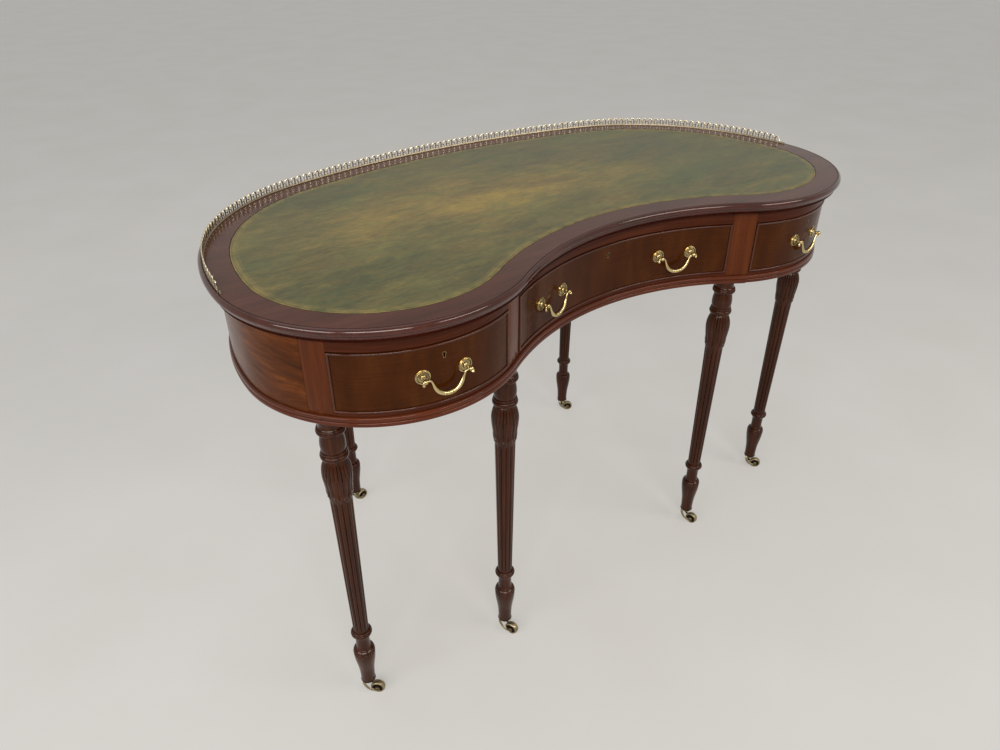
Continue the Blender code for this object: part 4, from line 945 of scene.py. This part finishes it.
# %% Six turned legs
for which, run in leg_runs.items():
    along = leg_frame(which)[1]
    leg = placed(turning, standing(which, math.atan2(along[1], along[0])))
    shell = Shells().add(leg, turning_grain + run * np.array([1.0, 0.3]))
    make_piece("turned_leg_" + which, shell, leg_wood, "desk", ["leg_" + which])
print("legs", len(leg_runs), "with", shell.count, "points each")

# %% [markdown]
# ## Handles
# Each handle is a cast bail that hangs from two posts. A post stands on a round dished backplate, the
# rose, and ends in an eye. The roses and eyes are turnings about two different axes. The bail is a rod
# of changing thickness along a smooth line: it leaves the eyes, droops to the middle and swells there
# round a small carved collar. A bevelled curve could make it, but arrays let the thickness follow any
# rule.

# %% Rose, post and eye
HANDLE_Z = 665.5 * MM
HANDLE_SPAN = 63 * MM
EYE_OUT = 13 * MM
SEAT_HALF = 11.5 * MM
UP = (0, 0, 1.0)
rose_mm = [(0.0, 0.3), (10.0, 0.3), (10.0, 0.3), (10.1, 1.2), (9.9, 2.1), (9.4, 2.4), (8.9, 2.1),
           (8.6, 1.4), (8.0, 0.9), (6.2, 0.8), (4.4, 1.0), (4.0, 1.2), (4.0, 1.2), (3.9, 2.2), (3.3, 2.9),
           (2.5, 3.2), (2.2, 3.6), (2.2, 3.6), (2.0, 5.0), (2.0, 6.8), (2.4, 8.0), (3.0, 9.2), (2.8, 10.2),
           (2.3, 10.8), (2.2, 12.2), (0.0, 12.8)]
eye_mm = [(1.8, -2.5), (1.8, 2.5), (1.8, 2.5), (2.8, 2.5), (3.5, 1.7), (3.75, 0.0), (3.5, -1.7),
          (2.8, -2.5), (2.8, -2.5), (1.8, -2.5)]
# The rose is darker in its dish, most in its two rings, and a little on the post.
rose_line = rounded(rose_mm, 3)[1:-1]
rose_radius, rose_height = rose_line.T
dish = (rose_radius > 3.6) & (rose_radius < 8.8) & (rose_height > 0.5) & (rose_height < 2.0)
ringed = dish & ((rose_radius > 7.9) | (rose_radius < 4.7))
rose_darkening = (0.4 * dish + 0.5 * ringed + 0.2 * (rose_height > 3.4))[:, None]
rose_grid = turned(rose_line * MM, 40)
eye_grid = turned(rounded(eye_mm, 3)[:-1] * MM, 28)


def rose_seats(run):
    """Middle of the flat behind each rose and the way it faces. The two are a span apart on the frieze's
    face: a step along the edge is half the span times a short run over that run's length on the face."""
    probe = 0.3 * MM
    here = inside_edge(np.array([run, run + probe]), SETBACK, 0.0)
    step = HANDLE_SPAN / 2 * probe / np.linalg.norm(here[1] - here[0])
    seats = []
    for at in (run - step, run + step):
        ends = inside_edge(np.array([at - SEAT_HALF, at + SEAT_HALF]), SETBACK, HANDLE_Z)
        seats.append((ends.mean(0), np.append(edge_at(np.array(at))[1], 0.0)))
    return seats


def axes_matrix(origin, z_way, y_way):
    """Matrix whose Z and Y point the given ways: columns are X = Y cross Z, Y, Z, then the origin."""
    z = Vector(z_way).normalized()
    x = Vector(y_way).cross(z).normalized()
    turn = Matrix((x, z.cross(x), z)).transposed().to_4x4()
    return Matrix.Translation(Vector(origin)) @ turn


# %% Bail as a rod along a line
def rod(path, thickness, side_way):
    """Tube: round each point of the path, thickness times (cos a across the path, sin a along side_way)."""
    ahead = unit(np.gradient(path, axis=0))
    across = unit(np.cross(ahead, side_way))
    angle = round_angles(14)[None, :, None]
    ring = across[:, None] * np.cos(angle) + np.cross(across, ahead)[:, None] * np.sin(angle)
    return path[:, None] + thickness[:, None, None] * ring


def swell(place, middle, width):
    """Smooth bump of height 1: e to the power of minus ((place minus middle) over width) squared."""
    return np.exp(-((place - middle) / width) ** 2)


half_mm = [(35.5, -6.0), (36.3, -4.6), (36.5, -2.6), (36.0, -0.9), (34.8, 0.0), (34.8, 0.0), (31.5, 0.0),
           (27.9, 0.0), (27.9, 0.0), (25.4, -1.4), (23.4, -5.2), (21.4, -10.8), (18.4, -16.8),
           (14.2, -21.6), (8.6, -24.9), (3.4, -26.2), (0.0, -26.5)]
bail_mm = mirrored(rounded(half_mm, 6), [-1, 1])
from_middle, drop = np.abs(bail_mm[:, 0]), -bail_mm[:, 1]
# The rod grows thicker towards the middle, with rings and grooves there, and tapers outside the eyes.
bail_radius = 1.5 + 1.75 * fade(drop, 3.0, 22.0)
bail_radius += 0.55 * swell(from_middle, 3.4, 0.8) + 0.45 * swell(from_middle, 6.2, 0.8)
bail_radius += 0.45 * swell(from_middle, 0, 1.3) - 0.3 * swell(from_middle, 4.8, 0.5)
outside = (from_middle > 35.1) & (drop > 1e-6)
bail_radius = np.where(outside, 1.3 + 1.0 * fade(drop, 2.0, 4.8), bail_radius)
bail_radius[[0, -1]] = 0.9
print("bail points", len(bail_mm))

# %% Fit the four handles
for which, run in handles.items():
    body = which.split("_")[0] + "_drawer"
    seats = rose_seats(run)
    eyes = [seat + way * EYE_OUT for seat, way in seats]
    along = unit(eyes[1] - eyes[0])
    for label, (seat, way), eye in zip("ab", seats, eyes):
        stem = placed(rose_grid, axes_matrix(seat, way, UP))
        knob = placed(eye_grid, axes_matrix(eye, along, UP))
        shell = Shells().add(stem, deposit_and_shade_map(stem, rose_darkening)).add(knob, deposit_and_shade_map(knob, 0.1), ring=True)
        name = "%s_%s" % (which, label)
        make_piece("rose_turned_" + name, shell, handle_brass, body, ["rose_" + name],
                   sharp=40)
    path = (eyes[0] + eyes[1]) / 2 + bail_mm[:, :1] * MM * along + bail_mm[:, 1:] * MM * np.array(UP)
    bar = rod(path, bail_radius * MM, np.cross(along, UP))
    collar = 0.6 * swell(from_middle, 4.8, 0.6)[:, None]
    shell = Shells().add(bar, deposit_and_shade_map(bar, collar))
    bail = "bail_" + which
    make_piece("bail_cast_" + which, shell, handle_brass, bail, [bail], sharp=50)
    print("handle", which, "at", np.round(path.mean(0), 3))

# %% [markdown]
# ## Castors
# Under each toe sits a brass plate with a pin. The horn turns on it and carries a solid brass wheel
# behind the pin, so the castor trails. The plate, the crown of the horn, its axle and the wheel are
# turnings. The two cheeks are flat bars that sweep down from the crown to the axle.

# %% Castor parts, drawn at the origin and trailing along +X
TRAIL = 15.5 * MM
WHEEL_R = 12.67 * MM
CHEEK_SIDES = 10
plate_mm = [(0.0, 22.6), (2.5, 22.6), (2.5, 22.6), (2.5, 31.6), (2.5, 31.6), (5.0, 31.8), (9.2, 32.1),
            (11.2, 32.6), (11.9, 33.5), (12.0, 34.7), (12.0, 34.7), (0.0, 34.7)]
crown_mm = [(2.9, 28.9), (8.2, 28.9), (9.0, 29.6), (9.0, 30.6), (8.0, 31.3), (2.9, 31.3)]
wheel_mm = [(1.8, 3.2), (4.6, 3.2), (4.6, 3.2), (5.0, 2.4), (5.0, 2.4), (8.6, 2.8), (8.6, 2.8), (9.3, 4.7),
            (10.2, 5.35), (11.2, 5.0), (12.1, 3.8), (12.55, 2.0), (12.67, 0.0)]
hub_mm = [(0.0, 9.0), (3.0, 8.8), (4.2, 8.2), (4.4, 7.4), (4.4, 6.0), (4.4, 6.0), (1.4, 6.0), (1.4, 6.0),
          (1.4, 0.0)]
plate_line = rounded(plate_mm, 3)[1:-1]
wheel_line = mirrored(rounded(wheel_mm, 3), [1, -1])
plate_grid = turned(plate_line * MM, 36)
crown_grid = turned(rounded(crown_mm, 3) * MM, 36)
wheel_grid = turned(wheel_line * MM, 56)
hub_grid = turned(mirrored(rounded(hub_mm, 2)[1:], [1, -1]) * MM, 24)


def cheek_grid(side):
    """Half-round bar: along a line shaped like a C from crown to axle, each section is a ring of ten
    points (width cos a along the cheek's plane, thickness sin a across it), flatter on its wheel side."""
    line = [(-6.4, 31.2), (-6.6, 28.0), (-5.2, 22.0), (-1.8, 16.0), (3.2, 11.6), (9.0, 9.8), (13.6, 11.0)]
    line = rounded(line, 5) * MM
    share = np.linspace(0, 1, len(line))
    width = np.interp(share, [0, 0.25, 0.8, 1], [2.6, 3.0, 2.7, 1.6]) * MM
    out = np.interp(share, [0, 0.25, 1], [4.6, 7.2, 7.2]) * MM
    ahead = unit(np.gradient(line, axis=0))
    across = np.stack([-ahead[:, 1], ahead[:, 0]], -1)
    angle = round_angles(CHEEK_SIDES)
    xz = line[:, None] + across[:, None] * (np.cos(angle)[:, None] * width[:, None, None])
    bulge = np.where(np.sin(angle) > 0, 1.5, 1.1) * np.sin(angle) * MM
    return np.stack([xz[..., 0], side * (out[:, None] + bulge), xz[..., 1]], -1)


# Painted shade: the dark colour lies under the plate, in the wheel's recesses and on the cheeks' wheel side,
# where shadow falls.
plate_painted_shade = np.where(plate_line[:, 0] < 9.5, 0.8, 0.3)[:, None]
wheel_painted_shade = np.where(wheel_line[:, 0] < 8.8, 1.0, 0.05)[:, None]
cheek_painted_shade = np.where(np.sin(round_angles(CHEEK_SIDES)) < -0.1, 0.9, 0.0)
print("castor grids", plate_grid.shape, crown_grid.shape, wheel_grid.shape, hub_grid.shape)

# %% Fit the six castors
# Each wheel trails its own way, as after a last push: degrees round from +X.
trails = {"outer_left": -43, "inner_left": -68, "inner_right": -74, "outer_right": -50, "back_left": 8,
          "back_right": -33}
for which, degrees in trails.items():
    stand = standing(which, math.radians(degrees))
    axle = stand @ Matrix.Translation((TRAIL, 0, WHEEL_R)) @ Matrix.Rotation(math.pi / 2, 4, "X")
    plate = Shells().add(placed(plate_grid, stand), deposit_and_shade_map(plate_grid, plate_painted_shade))
    horn = Shells().add(placed(crown_grid, stand), deposit_and_shade_map(crown_grid, 0.3), ring=True)
    horn.add(placed(hub_grid, axle), deposit_and_shade_map(hub_grid, 0.6))
    for side in (1, -1):
        cheek = cheek_grid(side)
        horn.add(placed(cheek, stand), deposit_and_shade_map(cheek, cheek_painted_shade))
    wheel = Shells().add(placed(wheel_grid, axle), deposit_and_shade_map(wheel_grid, wheel_painted_shade), ring=True)
    parts = (("plate_turned_", plate, "castor_plate_" + which, "desk"),
             ("horn_cast_", horn, "castor_horn_" + which, "castor_horn_" + which),
             ("wheel_turned_", wheel, "castor_wheel_" + which, "castor_wheel_" + which))
    for name, shells, node, body in parts:
        make_piece(name + which, shells, castor_brass, body, [node])
print("castors", len(trails))

# %% [markdown]
# ## The pierced gallery
# A low brass fence keeps pens from rolling off. It is cast in three lengths: a base strip, tall round
# hoops 13.5 mm apart, and a lower arch between each pair. There are more than a hundred hoops, so each is
# a light rod with five or six sides and a few rows, placed along the edge by arrays. At both outer ends the
# fence comes down: one lower hoop, then a short scroll that ends in a flared foot.

# %% Hoops, arches and base strip
FENCE_INSET = 9 * MM
FENCE_FOOT = DESK_TOP + 0.3 * MM
PITCH = 13.5 * MM
HOOP_ROD = (1.4 * MM, 1.15 * MM)
ARCH_ROD = (1.1 * MM, 0.95 * MM)


def hoop_line(half, spring, top, rows):
    """Half a turn of an ellipse on two upright legs: (half cos a, spring plus the rise above it sin a)."""
    angle = np.linspace(math.pi, 0, rows)
    arch = np.stack([half * np.cos(angle), spring + (top - spring) * np.sin(angle)], -1)
    return np.vstack([[(-half, 1.5)], arch, [(half, 1.5)]]) * MM


def fence_rods(shells, middles, line, thickness, sides=6):
    """The same small arch at each middle: the offset along the edge and the height give the path, and the
    section's ring lies across the path and along the outward normal. The side towards the hole is painted
    shade: it takes the dark colour where the hoop's inside lies in shadow."""
    along = middles[:, None] + line[:, 0]
    path = inside_edge(along, FENCE_INSET, FENCE_FOOT + line[:, 1])
    normal = edge_at(along)[1]
    outward = np.concatenate([normal, np.zeros((*along.shape, 1))], -1)
    across = np.cross(unit(np.gradient(path, axis=1)), outward)
    angle = round_angles(sides)
    wide, deep = (np.broadcast_to(half, len(line))[None, :, None, None] for half in thickness)
    ring = across[:, :, None] * np.cos(angle)[:, None] * wide
    ring = ring + outward[:, :, None] * np.sin(angle)[:, None] * deep
    shade = np.clip(0.35 - 0.75 * np.cos(angle), 0, 1)
    for tube in path[:, :, None] + ring:
        shells.add(tube, deposit_and_shade_map(tube, shade))


hoop = hoop_line(3.4, 10.6, 14.1, 8)
end_hoop = hoop_line(3.4, 8.4, 11.6, 8)
low_arch = hoop_line(3.1, 5.4, 8.4, 6)
scroll_mm = [(-1.0, 9.6), (2.4, 9.8), (5.2, 8.4), (7.2, 5.6), (8.8, 3.0), (11.2, 1.5), (14.2, 1.0)]
scroll = rounded(scroll_mm, 3) * MM
strip_mm = [(-1.4, 0.0), (-1.4, 0.6), (-1.0, 0.9), (-0.8, 2.4), (-0.4, 2.9), (0.4, 2.9), (0.8, 2.4),
            (1.0, 0.9), (1.4, 0.6), (1.4, 0.0)]
strip = np.array(strip_mm) * MM + [FENCE_INSET, FENCE_FOOT]


# %% Three lengths of gallery
def fence_length(name, start, end, free_end=0):
    """One casting: count whole pitches, then lay strip, hoops and arches. A free end of 1 or -1 gives the
    side that comes down in a scroll."""
    cells = round((end - start) / PITCH)
    pitch = (end - start) / cells
    base = swept(np.linspace(start, end, cells * 2 + 1)[:, None], strip)
    # The base strip takes the dark colour at 0.55 all along: painted shade for the shadow at the hoops' feet.
    shells = Shells().add(base, deposit_and_shade_map(base, 0.55))
    tall = start + pitch * (np.arange(cells) + 0.5)
    low = tall[:-1] + pitch / 2
    if free_end > 0:
        tall, low, last = tall[:-2], low[:-1], tall[-2:-1]
    elif free_end < 0:
        tall, low, last = tall[2:], low[1:], tall[1:2]
    fence_rods(shells, tall, hoop, HOOP_ROD)
    fence_rods(shells, low, low_arch, ARCH_ROD, 5)
    if free_end:
        fence_rods(shells, last, end_hoop, HOOP_ROD)
        flare = np.linspace(0, 1, len(scroll)) ** 3
        taper = ((0.9 - 0.2 * flare) * MM, (1.1 + 2.0 * flare) * MM)
        fence_rods(shells, last, scroll * [free_end, 1], taper, 8)
    piece = make_piece(name + "_pierced", shells, gallery_brass, "desk", [name], sharp=60)
    print(name, cells, "hoops,", len(piece.data.polygons), "faces")


fence_end = run_at_turn(math.pi / 2) + 2 * MM
fence_joint = leg_runs["back_right"]
fence_length("gallery_right", fence_joint + JOINT, fence_end, 1)
fence_length("gallery_back", -fence_joint + JOINT, fence_joint - JOINT)
fence_length("gallery_left", -fence_end, -fence_joint - JOINT, -1)

# %% [markdown]
# ## Inside the desk
# Drawer boxes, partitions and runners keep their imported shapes, because plain boards are what they are.
# Their material is swapped for planed oak, a softer, paler and far duller wood than the outside.

# %% Oak for what the drawers hide
oak = mahogany("planed_drawer_oak", ("#7a5a36", "#9c7748", "#b08a58"), (140, 14, 0.9), (40, 1.6, 0.7),
               source="Object", rough=(0.55, 0.7), gloss=0.2)
inside = [node for name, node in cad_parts.items()
          if name.startswith(("drawer_box", "partition", "outer_runner"))]
for node in inside:
    node.data.materials.clear()
    node.data.materials.append(oak)
print("oak boards", len(inside))

# %% [markdown]
# ## Floor, light and camera
# The stage is a plain pale floor and pale surroundings. Three broad lamps stand in for windows, in front of
# the desk and on its left: they draw a light streak along every moulding that faces half way between them
# and the eye. A large soft one hangs above. Their level is low enough that a colour shows about as it was
# written. The camera stands where the photograph was taken from.

# %% Stage
def seen_rays(tree):
    """1 for rays from the camera and for those that gloss or glass sends on, 0 for the light on things."""
    rays = add(tree, "LightPath", out="Is Camera Ray").node.outputs
    seen = add(tree, "Math", (rays["Is Camera Ray"], rays["Is Glossy Ray"]), operation="MAXIMUM")
    return add(tree, "Math", (seen, rays["Is Transmission Ray"]), operation="MAXIMUM")


def pale_floor():
    """Smooth pale floor with the faintest mottling, three cells to the metre. Seen by camera, gloss or
    glass, half of its light is its own, which evens the floor out to the horizon, and half is lamp light,
    which keeps the shadow."""
    finish, tree, shader = new_finish("pale_studio_floor")
    place = add(tree, "TexCoord", out="Object")
    cloud = add(tree, "TexNoise", {"Vector": place, "Scale": 3.0, "Detail": 3.0})
    tint = add(tree, "ValToRGB", (cloud,), stops=[(0.3, "#dcd9d3"), (0.7, "#e0ddd8")])
    fill(tree, shader, {"Base Color": tint, "Roughness": 0.7})
    glow = add(tree, "Emission", {"Color": tint, "Strength": 0.95})
    half = add(tree, "Math", (seen_rays(tree), 0.5), operation="MULTIPLY")
    both = add(tree, "MixShader", (half, shader.outputs[0], glow))
    fill(tree, tree.nodes["Material Output"], {"Surface": both})
    return finish


far = np.linspace(-14, 14, 9)
floor_grid = np.stack([*np.meshgrid(far, far, indexing="ij"), np.zeros((9, 9))], -1)
floor = new_object("floor", new_mesh("floor", floor_grid, grid_faces(9, 9)))
floor.data.materials.append(pale_floor())
print("floor", np.ptp(far), "m square")

# %% World and lamps
world = bpy.data.worlds.new("studio")
world.use_nodes = True
bpy.context.scene.world = world
tree = world.node_tree
tree.nodes.clear()
ambient = add(tree, "Background", {"Color": linear("#e4e6ea"), "Strength": 0.2})
backdrop = add(tree, "Background", {"Color": linear("#dedbd6"), "Strength": 0.8})
mixed = add(tree, "MixShader", (seen_rays(tree), ambient, backdrop))
fill(tree, tree.nodes.new("ShaderNodeOutputWorld"), {0: mixed})


def lamp(name, place, target, size, power, colour):
    """Rectangular area lamp that faces its target."""
    light = bpy.data.lights.new(name, "AREA")
    light.shape, light.size, light.size_y = "RECTANGLE", size[0], size[1]
    light.energy, light.color = power, linear(colour)[:3]
    made = new_object(name, light)
    made.location = place
    made.rotation_euler = (Vector(target) - Vector(place)).to_track_quat("-Z", "Y").to_euler()
    print(name, power, "W")


lamp("window_left", (-3.6, -0.8, 2.1), (0, 0, 0.6), (2.4, 1.0), 54, "#fdfdff")
lamp("window_front", (-2.0, -3.0, 2.5), (0, 0, 0.6), (2.6, 1.0), 86, "#fffdfa")
lamp("window_right", (1.4, -3.2, 2.4), (0, 0, 0.6), (2.4, 0.7), 48, "#fffaf2")
lamp("top_light", (-0.2, 0.9, 3.2), (-0.2, 0, 0.7), (2.6, 1.8), 13, "#f6f8ff")

# %% Camera
eye = Vector((-0.834, -1.0216, 1.188))
yaw, pitch, roll = 0.6354, 0.5627, -0.0033
forward = Vector((math.sin(yaw) * math.cos(pitch), math.cos(yaw) * math.cos(pitch), -math.sin(pitch)))
level = forward.cross(Vector((0, 0, 1))).normalized()
above = level.cross(forward)
right = level * math.cos(roll) + above * math.sin(roll)
turn = Matrix((right, right.cross(forward), -forward)).transposed().to_4x4()
lens = bpy.data.cameras.new("camera")
lens.sensor_width, lens.lens = 36.0, 26.93
camera = new_object("camera", lens)
camera.matrix_world = Matrix.Translation(eye) @ turn
bpy.context.scene.camera = camera
bpy.context.scene.view_settings.view_transform = "Standard"
print("camera at", tuple(eye))

# %% [markdown]
# ## Finish
# Last, the view layer is updated.

# %% Finish
bpy.context.view_layer.update()
